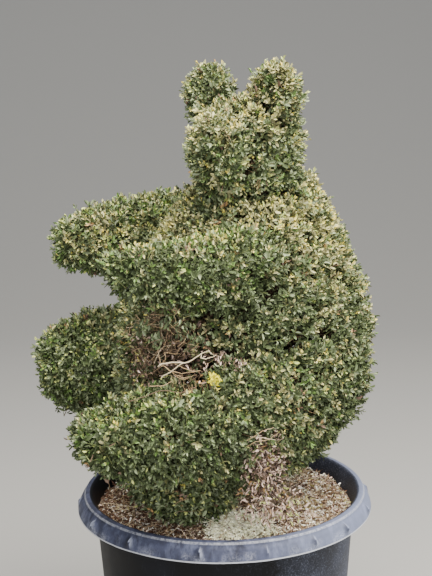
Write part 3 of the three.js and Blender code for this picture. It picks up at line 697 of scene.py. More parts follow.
# Camera, floor and light
def set_camera():
    """The photograph's own view, from the fitted height, distance, tilt and roll."""
    right = Vector(PHOTO_RIGHT)
    away = Vector(PHOTO_AWAY)
    ahead = away * math.cos(CAMERA_TILT) + Vector((0, 0, -math.sin(CAMERA_TILT)))
    up = right.cross(ahead)
    rolled_right = right * math.cos(CAMERA_ROLL) - up * math.sin(CAMERA_ROLL)
    rolled_up = up * math.cos(CAMERA_ROLL) + right * math.sin(CAMERA_ROLL)
    place = -away * CAMERA_AWAY * MM - right * POT_ASIDE * MM
    place.z = CAMERA_HEIGHT * MM
    turn = Matrix((rolled_right, rolled_up, -ahead)).transposed().to_4x4()
    data = bpy.data.cameras.new("camera")
    data.sensor_width = SENSOR
    data.lens = FOCAL_PIXELS * SENSOR / FRAME_PIXELS[1]
    camera = bpy.data.objects.new("camera", data)
    bpy.context.scene.collection.objects.link(camera)
    camera.matrix_world = Matrix.Translation(place) @ turn
    bpy.context.scene.camera = camera


def set_stage():
    """A pale floor that sweeps up behind the plant, soft lamps and an even sky."""
    bpy.ops.object.select_all(action="DESELECT")
    bpy.ops.mesh.primitive_plane_add(size=FLOOR_SIZE, location=(0, 0, 0))
    floor = bpy.context.object
    floor.name = "floor"
    turn = Matrix.Rotation(CAMERA_TURN, 4, "Z")
    middle = turn @ Vector((0, FLOOR_BEHIND - FLOOR_SIZE / 2, 0))
    floor.data.transform(Matrix.Translation(middle) @ turn)
    bpy.ops.object.mode_set(mode="EDIT")
    bpy.ops.mesh.select_mode(type="EDGE")
    bpy.ops.mesh.select_all(action="DESELECT")
    rows = bmesh.from_edit_mesh(floor.data)
    away = Vector(PHOTO_AWAY)
    for edge in rows.edges:
        edge.select = all(corner.co @ away > FLOOR_BEHIND - 0.1 for corner in edge.verts)
    bmesh.update_edit_mesh(floor.data)
    bpy.ops.mesh.extrude_region_move(TRANSFORM_OT_translate={"value": (0, 0, FLOOR_SIZE)})
    bpy.ops.mesh.select_all(action="DESELECT")
    rows = bmesh.from_edit_mesh(floor.data)
    for edge in rows.edges:
        edge.select = all(c.co @ away > FLOOR_BEHIND - 0.1 and c.co.z < 0.1 for c in edge.verts)
    bmesh.update_edit_mesh(floor.data)
    bpy.ops.mesh.bevel(offset=FLOOR_BEHIND * 0.6, segments=24, affect="EDGES")
    bpy.ops.object.mode_set(mode="OBJECT")
    bpy.ops.object.shade_smooth()
    floor.data.materials.append(new_material("grey_floor", "8e8d8b", 0.9)[0])

    world = bpy.data.worlds.new("sky")
    world.use_nodes = True
    sky = world.node_tree.nodes["Background"]
    sky.inputs["Color"].default_value = linear(SKY["tint"])
    sky.inputs["Strength"].default_value = SKY["strength"]
    bpy.context.scene.world = world
    for lamp in LAMPS:
        light = bpy.data.lights.new(lamp["name"], "AREA")
        light.size = lamp["size"]
        light.energy = lamp["watts"]
        light.color = linear(lamp["tint"])[:3]
        holder = bpy.data.objects.new(lamp["name"], light)
        holder.location = lamp["place"]
        aim = Vector(LAMP_AIM) - Vector(lamp["place"])
        holder.rotation_euler = aim.to_track_quat("-Z", "Y").to_euler()
        bpy.context.scene.collection.objects.link(holder)


# Pieces shaped in edit mode
def drawn_rings(name, steps, sides):
    """A closed round piece drawn out of a disc, ring by ring, through (radius, height) steps."""
    radius, height = steps[0]
    bpy.ops.object.select_all(action="DESELECT")
    bpy.ops.mesh.primitive_circle_add(vertices=sides, radius=radius * MM, fill_type="NGON",
                                      location=(0, 0, height * MM))
    piece = bpy.context.object
    piece.name = name
    piece.data.name = name
    bpy.ops.object.transform_apply(location=True, rotation=True, scale=True)
    bpy.ops.object.mode_set(mode="EDIT")
    bpy.ops.mesh.select_all(action="SELECT")
    for (before, low), (after, high) in zip(steps, steps[1:]):
        bpy.ops.mesh.extrude_region_move(
            TRANSFORM_OT_translate={"value": (0, 0, (high - low) * MM)})
        share = after / before
        bpy.ops.transform.resize(value=(share, share, 1), center_override=(0, 0, high * MM))
    bpy.ops.mesh.select_all(action="SELECT")
    bpy.ops.mesh.normals_make_consistent(inside=False)
    bpy.ops.object.mode_set(mode="OBJECT")
    return piece


def apply_modifiers(piece):
    """Makes the modifiers on a piece part of its mesh, in their order."""
    bpy.ops.object.select_all(action="DESELECT")
    piece.select_set(True)
    bpy.context.view_layer.objects.active = piece
    for modifier in list(piece.modifiers):
        bpy.ops.object.modifier_apply(modifier=modifier.name)


def add_relief(piece, size, strength, group=""):
    """Uneven relief with swells of about the given size, both in millimetres."""
    texture = bpy.data.textures.new(f"{piece.name}_relief_{size}", "CLOUDS")
    texture.noise_scale = size * MM
    modifier = piece.modifiers.new("relief", "DISPLACE")
    modifier.texture = texture
    modifier.strength = strength * MM
    modifier.mid_level = 0.5
    modifier.texture_coords = "LOCAL"
    modifier.vertex_group = group


def group_corners(piece, name, rule):
    """A vertex group whose weights are a rule of each corner's radius and height in mm."""
    group = piece.vertex_groups.new(name=name)
    for corner in piece.data.vertices:
        weight = rule(math.hypot(corner.co.x, corner.co.y) / MM, corner.co.z / MM)
        if weight > 0:
            group.add([corner.index], weight, "REPLACE")


def finish_piece(piece, material, nodes, angle):
    """Smooths a finished piece, gives it its material and stands it for its nodes."""
    bpy.ops.object.select_all(action="DESELECT")
    piece.select_set(True)
    bpy.context.view_layer.objects.active = piece
    bpy.ops.object.shade_smooth_by_angle(angle=math.radians(angle))
    piece.data.materials.clear()
    piece.data.materials.append(material)
    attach(piece, "root")
    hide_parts(*nodes)


def rounded(profile, bends):
    """A profile with some corners rounded. bends gives how far the bend of each reaches."""
    steps = []
    for k, corner in enumerate(profile):
        if k not in bends:
            steps.append(corner)
            continue
        here = np.array(corner, float)
        back, on = np.array(profile[k - 1], float), np.array(profile[k + 1], float)
        start, end = (
            here + unit(other - here) * min(bends[k], np.linalg.norm(other - here) * MOST_BEND)
            for other in (back, on)
        )
        for u in (0, 0.25, 0.5, 0.75, 1):
            point = start * (1 - u) ** 2 + here * 2 * u * (1 - u) + end * u ** 2
            steps.append(tuple(point))
    return steps


def pot_material():
    """Recycled black polypropylene, moulded: matt and dusty, bleached blue grey on the rim, painted
    lighter on its lit side, with painted shade and highlight on the buckles.

    The patterns' sizes are in millimetres: clouds of dust, mottled patches, streaks and scratches
    drawn out down the wall, grit, and worn edges, whose pattern on the top of the lip also paints a
    highlight. Scratches, grit and worn edges are finer in life, and are drawn as coarse as they
    need to show.
    """
    material, tree, sockets = new_material("pot_plastic", "17191d", 0.6, 0.2)
    place = add_node(tree, "ShaderNodeTexCoord", {})["Object"]
    drawn_out = add_node(tree, "ShaderNodeMapping", {
        "Vector": place, "Scale": (1, 1, 0.08)})["Vector"]
    dust, patches, streaks, scratches, grit, wear_and_highlight = (
        add_node(tree, "ShaderNodeTexNoise", {
            "Vector": vector, "Scale": 1 / (size * MM), "Detail": detail,
            "Roughness": roughness})["Fac"]
        for vector, size, detail, roughness in (
            (place, 76.9, 4, 0.62), (place, 29.4, 4, 0.6), (drawn_out, 16.7, 4, 0.65),
            (drawn_out, 2.38, 3, 0.7), (place, 3.03, 3, 0.7), (place, 5.26, 3, 0.7),
        )
    )
    height = add_node(tree, "ShaderNodeSeparateXYZ", {"Vector": place})["Z"]
    level = add_node(tree, "ShaderNodeVectorMath", {
        "operation": "MULTIPLY", 0: place, 1: (1, 1, 0)})["Vector"]
    radius = add_node(tree, "ShaderNodeVectorMath", {"operation": "LENGTH", 0: level})["Value"]
    # How far a place lies towards the lit side, where the rim and the wall are painted lighter.
    lit_side = add_node(tree, "ShaderNodeVectorMath", {
        "operation": "DOT_PRODUCT", 0: place, 1: (0.34, 0.94, 0)})["Value"]
    # Dust, plus a rise towards the lit side that paints the wall's sheen.
    dust_and_sheen = add_node(tree, "ShaderNodeMath", {
        "operation": "MULTIPLY_ADD", 0: lit_side, 1: 2.0, 2: dust})["Value"]
    fold = add_node(tree, "ShaderNodeAttribute", {"attribute_name": "fold"})["Fac"]

    # Where the rim, its hem and its lip are, in metres.
    rim_place = [(radius, 0.2572, 0.2585), (height, 0.387, 0.3885)]
    hem_place = [(radius, 0.268, 0.27), (height, 0.3915, 0.3902)]
    lip_place = [(radius, 0.2655, 0.2662), (radius, 0.2688, 0.268), (height, 0.4165, 0.418)]

    # The wall: near black and bluish, with dust and pale grit that thicken towards the lit side,
    # where they also paint its sheen, and soil splashed on its foot.
    wall = paint(tree, "020307", "0c0e16", 1, (dust, 0.4, 0.7))
    wall = paint(tree, wall, "3a3e4c", 0.85, (dust_and_sheen, 0.56, 1.12))
    wall = paint(tree, wall, "747989", 0.75, (grit, 0.52, 0.7), (dust_and_sheen, 0.42, 1.0))
    wall = paint(tree, wall, "4c5060", 0.15, (scratches, 0.6, 0.72))
    wall = paint(tree, wall, "5a5148", 0.6, (height, 0.06, 0), (dust, 0.3, 0.6))

    # The rim: streaked and mottled, with a bloom above the hem, and painted lighter towards its lit
    # side. Each buckle has a painted shadow on one flank and a painted highlight on the other.
    rim = paint(tree, "262836", "3e4256", 1, (patches, 0.35, 0.65))
    rim = paint(tree, rim, "5e6379", 0.65, (streaks, 0.5, 0.7))
    rim = paint(tree, rim, "282a36", 0.5, (streaks, 0.46, 0.3))
    rim = paint(tree, rim, "a0a2ad", 0.55,
                (dust, 0.5, 0.62), (height, 0.408, 0.396), (grit, 0.4, 0.6))
    # Painted light: the rim is made lighter towards its lit side.
    rim = paint(tree, rim, "848ca6", 0.55, (lit_side, 0.03, 0.27))
    # Painted shadow on one flank of each buckle, and a painted highlight on the other.
    rim = paint(tree, rim, "1b1d27", 0.65, (fold, 0, -1))
    rim = paint(tree, rim, "a9afc2", 0.5, (fold, 0, 1))

    # Pale edges: the hem, worn, and the top of the lip, worn and also a painted highlight.
    colour = paint(tree, wall, rim, 1, *rim_place)
    colour = paint(tree, colour, "b7b9c0", 0.9, *hem_place, (wear_and_highlight, 0.125, 0.425))
    # The lip's pale line: wear, and a painted highlight along its edge.
    colour = paint(tree, colour, "b7b9c0", 0.45, *lip_place, (wear_and_highlight, 0.3, 0.6))
    dusty = add_node(tree, "ShaderNodeMath", {
        "operation": "MULTIPLY_ADD", 0: dust, 1: 0.3, 2: 0.36})["Value"]
    tree.links.new(dusty, sockets["Roughness"])
    relief = add_node(tree, "ShaderNodeMath", {
        "operation": "MULTIPLY_ADD", 0: grit, 1: 0.5, 2: streaks})["Value"]
    set_surface(tree, sockets, colour, relief, 0.25, 0.6)
    return material


def buckle_height(places):
    """How far the skirt is pushed out at each place, in mm, and which side of a fold it is on."""
    radius = np.hypot(places[:, 0], places[:, 1])
    angle = np.degrees(np.arctan2(places[:, 1], places[:, 0]))
    height = places[:, 2]
    fall = np.clip((BUCKLE_TOP - height) / (BUCKLE_TOP - BUCKLE_FOOT), 0, 1)
    over_hem = 0.12 + 0.88 * np.clip((height - HEM_HEIGHT) / HEM_FADE, 0, 1)
    rise = np.minimum(1, fall * 6) * (1 - np.clip((fall - 0.3) / 0.7, 0, 1) ** 1.5)
    push, side = np.zeros(len(places)), np.zeros(len(places))
    for k, middle in enumerate(BUCKLES):
        aside = ((angle - middle + 180) % 360 - 180) / 360 * math.tau * radius
        wide = BUCKLE_WIDTH * (0.3 + 0.9 * fall) * (1 + 0.2 * math.sin(2.4 * k))
        ridge = 0.35 * wide
        near = np.clip((aside + wide) / (wide + ridge), 0, 1)
        far = np.clip((wide - aside) / (wide - ridge), 0, 1)
        fold = np.minimum(near, far) * (0.8 + 0.3 * math.sin(1.7 * k + 1)) * rise
        push = np.maximum(push, BUCKLE_HEIGHT * fold * over_hem)
        side += np.where(aside < ridge, -1, 1) * np.minimum(1, fold * 1.6) * over_hem
    outside = (radius > POT["lip_radius"] - 2) & (height < BUCKLE_TOP) & (height > 387)
    return np.where(outside, push, 0), np.where(outside, side, 0)


def make_pot():
    """The nursery pot: tapered wall, foot ring, drain recesses, rolled lip and buckled skirt."""
    skirt_foot = POT["height"] - POT["skirt_drop"]
    base, top = POT["base_radius"], POT["wall_top_radius"]
    lip, mouth, skirt = POT["lip_radius"], POT["mouth_radius"], POT["skirt_radius"]
    wall, high = POT["wall"], POT["height"]
    outer = [(base + (top - base) * k / 8, 6 + (skirt_foot - 6) * k / 8) for k in range(1, 8)]
    inner = [(base - wall + (top - base) * k / 6, 5 + (skirt_foot - 5) * k / 6)
             for k in range(5, 0, -1)]
    flare = [(float(np.interp(z, *zip(*SKIRT_LINE))), z) for z in np.arange(391, 416, 2.0)]
    profile = [
        (12, 3), (base - 34, 3), (base - 28, 0), (base - POT["chamfer"], 0), (base, POT["chamfer"]),
        *outer, (top, skirt_foot), (mouth + wall - 1, high - 9), (lip - wall, high - 8.5),
        (lip - wall + 4, high - 15), (skirt - 8, skirt_foot + 9), (skirt - 5.6, skirt_foot + 3),
        (skirt - 3.6, skirt_foot), (skirt - 0.3, skirt_foot), *flare, (lip + 0.4, high - 5),
        (lip - 2.4, high), (mouth + 3, high), (mouth, high - 6), (top - wall, skirt_foot),
        *inner, (base - wall - 3, 5), (12, 5),
    ]
    lip_place = len(outer) + 13 + len(flare)
    bends = {len(outer) + 5: 6, len(outer) + 6: 3, len(outer) + 11: 1.0, len(outer) + 12: 1.0,
             lip_place: 2.2, lip_place + 1: 3.4, lip_place + 2: 3.4, lip_place + 3: 6}
    pot = drawn_rings("nursery_pot", rounded(profile, bends), POT_SIDES)

    # The buckles: each a crease that starts as a point under the lip, opens downwards and fades
    # out over the hem. Its far side is the steeper one.
    bpy.ops.object.select_all(action="DESELECT")
    pot.select_set(True)
    bpy.context.view_layer.objects.active = pot
    places = np.empty(len(pot.data.vertices) * 3)
    pot.data.vertices.foreach_get("co", places)
    levels = np.round(buckle_height(places.reshape(-1, 3) / MM)[0] / PUSH_STEP).astype(int)
    bpy.ops.object.mode_set(mode="EDIT")
    bpy.ops.mesh.select_mode(type="VERT")
    for level in range(1, levels.max() + 1):
        bpy.ops.mesh.select_all(action="DESELECT")
        rows = bmesh.from_edit_mesh(pot.data)
        for corner in rows.verts:
            if levels[corner.index] == level:
                corner.select = True
        bmesh.update_edit_mesh(pot.data)
        share = 1 + level * PUSH_STEP / skirt
        bpy.ops.transform.resize(value=(share, share, 1), center_override=(0, 0, 0))
    bpy.ops.object.mode_set(mode="OBJECT")

    # Shallow drain recesses round the foot of the wall.
    for k in range(RECESS["count"]):
        angle = math.tau * (k + 0.5) / RECESS["count"]
        reach = (base + RECESS["proud"]) * MM
        bpy.ops.object.select_all(action="DESELECT")
        bpy.ops.mesh.primitive_cylinder_add(
            vertices=24, radius=RECESS["radius"] * MM, depth=RECESS["depth"] * MM,
            location=(reach * math.cos(angle), reach * math.sin(angle), RECESS["height"] * MM),
            rotation=(0, math.pi / 2, angle))
        cutter = bpy.context.object
        cut = pot.modifiers.new("recess", "BOOLEAN")
        cut.object = cutter
        cut.solver = "EXACT"
        apply_modifiers(pot)
        bpy.data.objects.remove(cutter)
    group_corners(pot, "skirt", lambda radius, z: float(radius > lip and z < high - 8))
    add_relief(pot, 60, 1.6, "skirt")
    apply_modifiers(pot)
    places = np.empty(len(pot.data.vertices) * 3)
    pot.data.vertices.foreach_get("co", places)
    # Which flank of each buckle a place is on, for its painted shadow and painted highlight.
    fold = pot.data.attributes.new("fold", "FLOAT", "POINT")
    fold.data.foreach_set("value", buckle_height(places.reshape(-1, 3) / MM)[1])
    finish_piece(pot, pot_material(), ["pot"], 32)


def soil_material():
    """Peaty potting mix with bark fines: dark crumbs 8 mm across among lighter fibres of 2 mm.

    Real fibres are finer, and these are drawn as coarse as they need to show.
    """
    material, tree, sockets = new_material("potting_soil", "4a3b30", 0.95)
    place = add_node(tree, "ShaderNodeTexCoord", {})["Object"]
    crumbs = add_node(tree, "ShaderNodeTexNoise", {
        "Vector": place, "Scale": 1 / (7.69 * MM), "Detail": 5, "Roughness": 0.65})["Fac"]
    fines = add_node(tree, "ShaderNodeTexNoise", {
        "Vector": place, "Scale": 1 / (1.92 * MM), "Detail": 3, "Roughness": 0.6})["Fac"]
    colour = paint(tree, "5c4b40", "98856f", 1, (crumbs, 0.35, 0.65))
    colour = paint(tree, colour, "bda488", 0.7, (fines, 0.58, 0.72))
    relief = add_node(tree, "ShaderNodeMath", {
        "operation": "MULTIPLY_ADD", 0: fines, 1: 0.4, 2: crumbs})["Value"]
    set_surface(tree, sockets, colour, relief, 3)
    return material


def make_soil():
    """The potting mix: packed against the wall, heaped to the trunk, its top crumbly."""
    edge = POT["wall_top_radius"] - POT["wall"] - 0.5
    base = POT["base_radius"] - POT["wall"] - 0.5
    rings = [SOIL_EDGE_RADIUS - 6 * k for k in range(1, 40)]
    steps = [(base, POT["floor"] + 0.5), (base + (edge - base) * 0.5, 200), (edge, SOIL_EDGE - 2)]
    steps += [(edge - 1.5, SOIL_EDGE)] + [(radius, float(soil_height(radius))) for radius in rings]
    soil = drawn_rings("potting_soil", steps, SOIL_SIDES)
    group_corners(soil, "top",
                  lambda radius, z: float(z > SOIL_EDGE - 1) * min(1, (edge - radius) / 8))
    add_relief(soil, 38, 6, "top")
    add_relief(soil, 9, 4, "top")
    apply_modifiers(soil)
    finish_piece(soil, soil_material(), ["soil"], 60)


def bark_material():
    """Old box bark: pale corky grey tan, cracked into plates 7 mm wide, with dark cracks.

    Plates and fibres are drawn out along the trunk, and lichen grows in patches of 17 mm. The
    fibres are finer in life, and are drawn as coarse as they need to show.
    """
    material, tree, sockets = new_material("box_bark", "8a7c66", 0.9)
    place = add_node(tree, "ShaderNodeTexCoord", {})["Object"]
    drawn_out = add_node(tree, "ShaderNodeMapping", {
        "Vector": place, "Scale": (1, 1, 0.22)})["Vector"]
    plates = add_node(tree, "ShaderNodeTexVoronoi", {
        "feature": "DISTANCE_TO_EDGE", "Vector": drawn_out, "Scale": 1 / (6.67 * MM)})["Distance"]
    fibres = add_node(tree, "ShaderNodeTexNoise", {
        "Vector": drawn_out, "Scale": 1 / (2.38 * MM), "Detail": 4, "Roughness": 0.6})["Fac"]
    lichen = add_node(tree, "ShaderNodeTexNoise", {
        "Vector": place, "Scale": 1 / (16.7 * MM), "Detail": 4, "Roughness": 0.6})["Fac"]
    colour = paint(tree, "6d5f4d", "a39479", 1, (fibres, 0.3, 0.7))
    colour = paint(tree, colour, "3c3026", 1, (plates, 0.14, 0.02))
    colour = paint(tree, colour, "9da18a", 0.6, (lichen, 0.58, 0.7))
    plate_tops = add_node(tree, "ShaderNodeMapRange", {
        "Value": plates, "From Min": 0, "From Max": 0.2})["Result"]
    relief = add_node(tree, "ShaderNodeMath", {
        "operation": "MULTIPLY_ADD", 0: fibres, 1: 0.4, 2: plate_tops})["Value"]
    set_surface(tree, sockets, colour, relief, 1.6)
    return material


def limb_tube(points, radii):
    """One limb as a tapering tube along its curve."""
    curve = bpy.data.curves.new("limb", "CURVE")
    curve.dimensions = "3D"
    curve.bevel_depth = MM
    curve.bevel_resolution = 7
    curve.use_fill_caps = True
    line = curve.splines.new("POLY")
    line.points.add(len(points) - 1)
    for place, point, radius in zip(line.points, points, radii):
        place.co = (*(point * MM), 1)
        place.radius = radius
    tube = bpy.data.objects.new("limb", curve)
    bpy.context.scene.collection.objects.link(tube)
    return tube


def make_bark():
    """The trunk, its root flare and the boughs, grown together and given their corky relief."""
    t = np.linspace(0, 1, 28)
    tubes = [limb_tube(spline(path, t), along(radii, t)) for path, radii in LIMBS.values()]
    path, radii = LIMBS["trunk"]
    foot = np.array(path[0], float)
    for k in range(ROOT_RIDGES):
        angle = math.tau * (k + 0.3 * math.sin(2.1 * k)) / ROOT_RIDGES
        way = np.array([math.cos(angle), math.sin(angle), 0])
        ridge = [foot + way * out + [0, 0, up] for out, up in ROOT_LINE]
        tubes.append(limb_tube(spline(ridge, np.linspace(0, 1, 10)), np.linspace(*ROOT_RADII, 10)))
    bpy.ops.object.select_all(action="DESELECT")
    for tube in tubes:
        tube.select_set(True)
    bpy.context.view_layer.objects.active = tubes[0]
    bpy.ops.object.convert(target="MESH")
    bpy.ops.object.join()
    bark = bpy.context.object
    bark.name = "bark_limbs"
    bark.data.name = "bark_limbs"
    remesh = bark.modifiers.new("grown_together", "REMESH")
    remesh.mode = "VOXEL"
    remesh.voxel_size = BARK_GRID * MM
    soften = bark.modifiers.new("soften", "SMOOTH")
    soften.iterations = 3
    add_relief(bark, 14, 3.4)
    add_relief(bark, 5, 1.6)
    apply_modifiers(bark)
    finish_piece(bark, bark_material(), list(LIMBS), 70)


# Joined meshes from arrays
def mesh_piece(name, corners, faces, materials, tones=None):
    """One joined mesh in metres from arrays in millimetres, riding on the root."""
    mesh = bpy.data.meshes.new(name)
    corners = np.asarray(corners, np.float32) * MM
    faces = np.asarray(faces, np.int32)
    mesh.vertices.add(len(corners))
    mesh.vertices.foreach_set("co", corners.ravel())
    mesh.loops.add(faces.size)
    mesh.loops.foreach_set("vertex_index", faces.ravel())
    mesh.polygons.add(len(faces))
    mesh.polygons.foreach_set("loop_start", np.arange(0, faces.size, 3, dtype=np.int32))
    for material in materials:
        mesh.materials.append(material)
    if tones is not None:
        mesh.polygons.foreach_set("material_index", np.asarray(tones, np.int32))
    mesh.update(calc_edges=True)
    piece = bpy.data.objects.new(name, mesh)
    bpy.context.scene.collection.objects.link(piece)
    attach(piece, "root")
    return piece


# The leaf's outline, in shares of its length: root, two points on each edge, and tip. It is
# folded a little along its midrib.
LEAF_SHAPE = np.array([
    [0, 0, 0], [-0.44, 0.30, 0.09], [-0.45, 0.68, 0.07], [0, 1, -0.05],
    [0.45, 0.68, 0.07], [0.44, 0.30, 0.09],
])
LEAF_FACES = np.array([[0, 3, 1], [1, 3, 2], [0, 5, 3], [3, 5, 4]])


def leaf_corners(roots, ways, tops, lengths, width=LEAF_WIDTH, cup=1.0):
    """Every corner of many leaves, from their roots, the ways they point and their upper sides."""
    sides = unit(np.cross(ways, tops))
    tops = np.cross(sides, ways)
    across, ahead, above = (LEAF_SHAPE[None, :, k:k + 1] for k in range(3))
    sizes = lengths[:, None, None]
    widths = np.broadcast_to(np.asarray(width, float), lengths.shape)[:, None, None]
    cups = np.broadcast_to(np.asarray(cup, float), lengths.shape)[:, None, None]
    return roots[:, None] + sizes * (
        across * widths * sides[:, None] + ahead * ways[:, None] + above * cups * tops[:, None]
    )


def join_leaves(corner_sets, tone_sets):
    """Leaves' corners and tones as one mesh's corners, faces and face tones."""
    corners = np.concatenate(corner_sets)
    tones = np.concatenate(tone_sets)
    count = len(corners)
    faces = LEAF_FACES[None] + (np.arange(count) * len(LEAF_SHAPE))[:, None, None]
    return corners.reshape(-1, 3), faces.reshape(-1, 3), np.repeat(tones, len(LEAF_FACES))


def join_meshes(meshes):
    """The corners, faces and face tones of a few meshes as those of one."""
    corners, faces, tones = zip(*meshes)
    starts = np.cumsum([0] + [len(own) for own in corners[:-1]])
    faces = [rows + start for rows, start in zip(faces, starts)]
    return np.concatenate(corners), np.concatenate(faces), np.concatenate(tones)


def rods(starts, ends, start_radii, end_radii, tones, sides=3):
    """Corners, faces and face tones of many open tapering twigs."""
    line = unit(ends - starts)
    guide = np.where(np.abs(line[:, 2:]) < 0.9, [[0, 0, 1.0]], [[1.0, 0, 0]])
    first = unit(np.cross(guide, line))
    second = np.cross(line, first)
    turns = (np.arange(sides) * math.tau / sides)[None, :, None]
    ring = first[:, None] * np.cos(turns) + second[:, None] * np.sin(turns)
    low = starts[:, None] + ring * np.broadcast_to(start_radii, len(starts))[:, None, None]
    high = ends[:, None] + ring * np.broadcast_to(end_radii, len(starts))[:, None, None]
    corners = np.concatenate([low, high], axis=1)
    base = (np.arange(len(starts)) * sides * 2)[:, None, None]
    quads = [(k, (k + 1) % sides, sides + (k + 1) % sides, sides + k) for k in range(sides)]
    faces = np.array([face for a, b, c, d in quads for face in ((a, b, c), (a, c, d))])
    face_tones = np.repeat(np.broadcast_to(tones, len(starts)), len(faces))
    return corners.reshape(-1, 3), (faces[None] + base).reshape(-1, 3), face_tones


def wandering_rods(points, start_radii, end_radii, tones, sides=3):
    """Twigs that follow a line of points each: an array of twigs by points by 3."""
    steps = points.shape[1] - 1
    taper = end_radii - start_radii
    return join_meshes([
        rods(points[:, k], points[:, k + 1], start_radii + taper * (k / steps),
             start_radii + taper * ((k + 1) / steps), tones, sides)
        for k in range(steps)
    ])


def nearest(points, targets):
    """For each target, the index of the nearest point."""
    tree = KDTree(len(points))
    for i, point in enumerate(points):
        tree.insert(point, i)
    tree.balance()
    return np.array([tree.find(target)[1] for target in targets])


def pick(shares, numbers, count, random):
    """The numbers of names, dealt out by the names' shares."""
    weights = np.array(list(shares.values()))
    picks = random.choice(len(weights), size=count, p=weights / weights.sum())
    return np.array([numbers[name] for name in shares])[picks]


# Growing the masses
def patch_depth(patch, points):
    """Under 1 for points inside a patch, whose half sizes lie along the photograph's directions."""
    offset = points - np.array(patch["middle"], float)
    a, b, c = patch["half"]
    return np.sqrt((offset @ PHOTO_RIGHT / a) ** 2 + (offset @ PHOTO_AWAY / b) ** 2
                   + (offset[:, 2] / c) ** 2)


def leafiness(mass, points):
    """1 where leaves are full, 0 in the middle of a bare patch or a pin hole."""
    full = np.ones(len(points))
    ragged = PATCH_RAGGED * ripple(points, 34, 5)
    for patch in BARE_PATCHES:
        if mass.name in patch["masses"]:
            leaves = (patch_depth(patch, points) + ragged - PATCH_EDGE) / PATCH_FADE
            full = np.minimum(full, np.clip(leaves, patch.get("least", 0), 1))
    for *middle, half in PIN_HOLES:
        reach = np.linalg.norm(points - np.array(middle, float), axis=1)
        full = np.minimum(full, np.clip((reach / half - HOLE_EDGE) / HOLE_FADE, 0, 1))
    return full


def is_clear(mass, points, gap):
    """True for points out of every other mass, the soil and the pot's rim."""
    radius, height = np.hypot(points[:, 0], points[:, 1]), points[:, 2]
    clear = height > soil_height(radius) + SOIL_CLEARANCE
    clear &= (height > POT["height"] + RIM_CLEARANCE) | (
        radius < POT["mouth_radius"] - WALL_CLEARANCE)
    for other in MASS_LIST:
        if other is not mass:
            clear &= other.share(points) > 1 + gap
    return clear


def in_gold_spot(points):
    """True for points in the tip of golden leaves in the lap."""
    reach = np.linalg.norm(points - np.array(GOLD_SPOT["middle"], float), axis=1)
    return reach < GOLD_SPOT["half"]


def deal_tones(mass, points, out, w, crease, random):
    """Each shoot's family of colour, dealt out by where it grows: its place in FAMILIES."""
    spec = mass.spec
    lit = np.clip(0.5 + 0.5 * out[:, 2], 0, 1)
    drift = ripple(points, 150, 11) * 0.4 + ripple(points, 52, 12) * 0.6
    to_end = (w + 1) / 2
    fresh = along(spec["fresh"], to_end) * (1 + 0.6 * ripple(points, 90, 13))
    straw = along(spec["straw"], to_end) * (0.3 + 1.5 * lit ** 2) * (1 + 0.7 * drift)
    weights = {
        "deep": spec["deep"] * (1.3 - lit) * (1 - 0.4 * drift),
        "moss": 0.5 - 0.4 * np.minimum(1, 1.6 * straw),
        "olive": 1.3 * straw,
        "sage": spec["sage"] * (1 - 0.4 * drift),
        "silver": 0.16 * spec["sage"] * (0.4 + lit),
        "fresh": fresh,
        "lime": fresh * (0.1 + lit),
        "khaki": straw * 1.3,
        "straw": straw,
        "bronze": 0.005 + 0.03 * straw,
        "brown": np.full(len(points), 0.015 + 0.01 * spec["deep"]),
    }
    # Painted shade in the creases: the darker families weigh more there.
    for name, shift in CREASE_SHIFT.items():
        weights[name] = weights[name] * (1 + crease * shift)
    for spot in TONE_SPOTS:
        if mass.name in spot["masses"]:
            inside = np.clip(1.5 - 1.25 * patch_depth(spot, points), 0, 1)
            for name, times in spot["shift"].items():
                weights[name] = weights[name] * (1 + (times - 1) * inside)
    table = np.clip(np.stack(list(weights.values()), axis=1), 0.002, None)
    reached = np.cumsum(table / table.sum(axis=1, keepdims=True), axis=1)
    families = (random.uniform(size=(len(points), 1)) > reached).sum(axis=1)
    families = np.minimum(families, len(weights) - 1)
    return np.where(in_gold_spot(points), GOLD_FAMILY, families)


def grow_shoots(mass, random):
    """The shoots that clothe a mass, and the bare ones in its patches, as two sets."""
    w, angle = mass.places(SHOOT_AREA, random)
    count = len(w)
    out = mass.outward(w, angle)
    whisker = random.uniform(size=count) < WHISKER_SHARE
    face = mass.surface(w, angle)
    apart = np.min([other.share(face) for other in MASS_LIST if other is not mass], axis=0)
    crease = np.clip(1 - (apart - CREASE_START) / CREASE_REACH, 0, 1)
    rough = sum(hollow["depth"] * np.maximum(0, ripple(face, hollow["size"], hollow["seed"]))
                for hollow in HOLLOWS)
    rise = random.normal(-SKIN_DEPTH, SKIN_JITTER, count) - (1 - crease) * rough
    rise = np.clip(rise - CREASE_DEPTH * crease, -DEEPEST_TIP, PROUDEST_TIP)
    rise = np.where(whisker, random.uniform(1, OVERREACH - 1, count), rise)
    rise = np.where(in_gold_spot(face), PROUDEST_TIP, rise)
    tips = mass.surface(w, angle, rise)
    ways = unit(out + UP * SHOOT_LIFT + random.normal(0, SHOOT_SPREAD, (count, 3)))
    clear = is_clear(mass, tips, MASS_GAP)
    leafy = random.uniform(size=count) < leafiness(mass, tips)
    families = deal_tones(mass, tips, out, w, crease, random)
    shoots = {"tips": tips, "ways": ways, "families": families}
    return (
        {key: rows[clear & leafy] for key, rows in shoots.items()},
        {key: rows[clear & ~leafy] for key, rows in shoots.items()},
    )


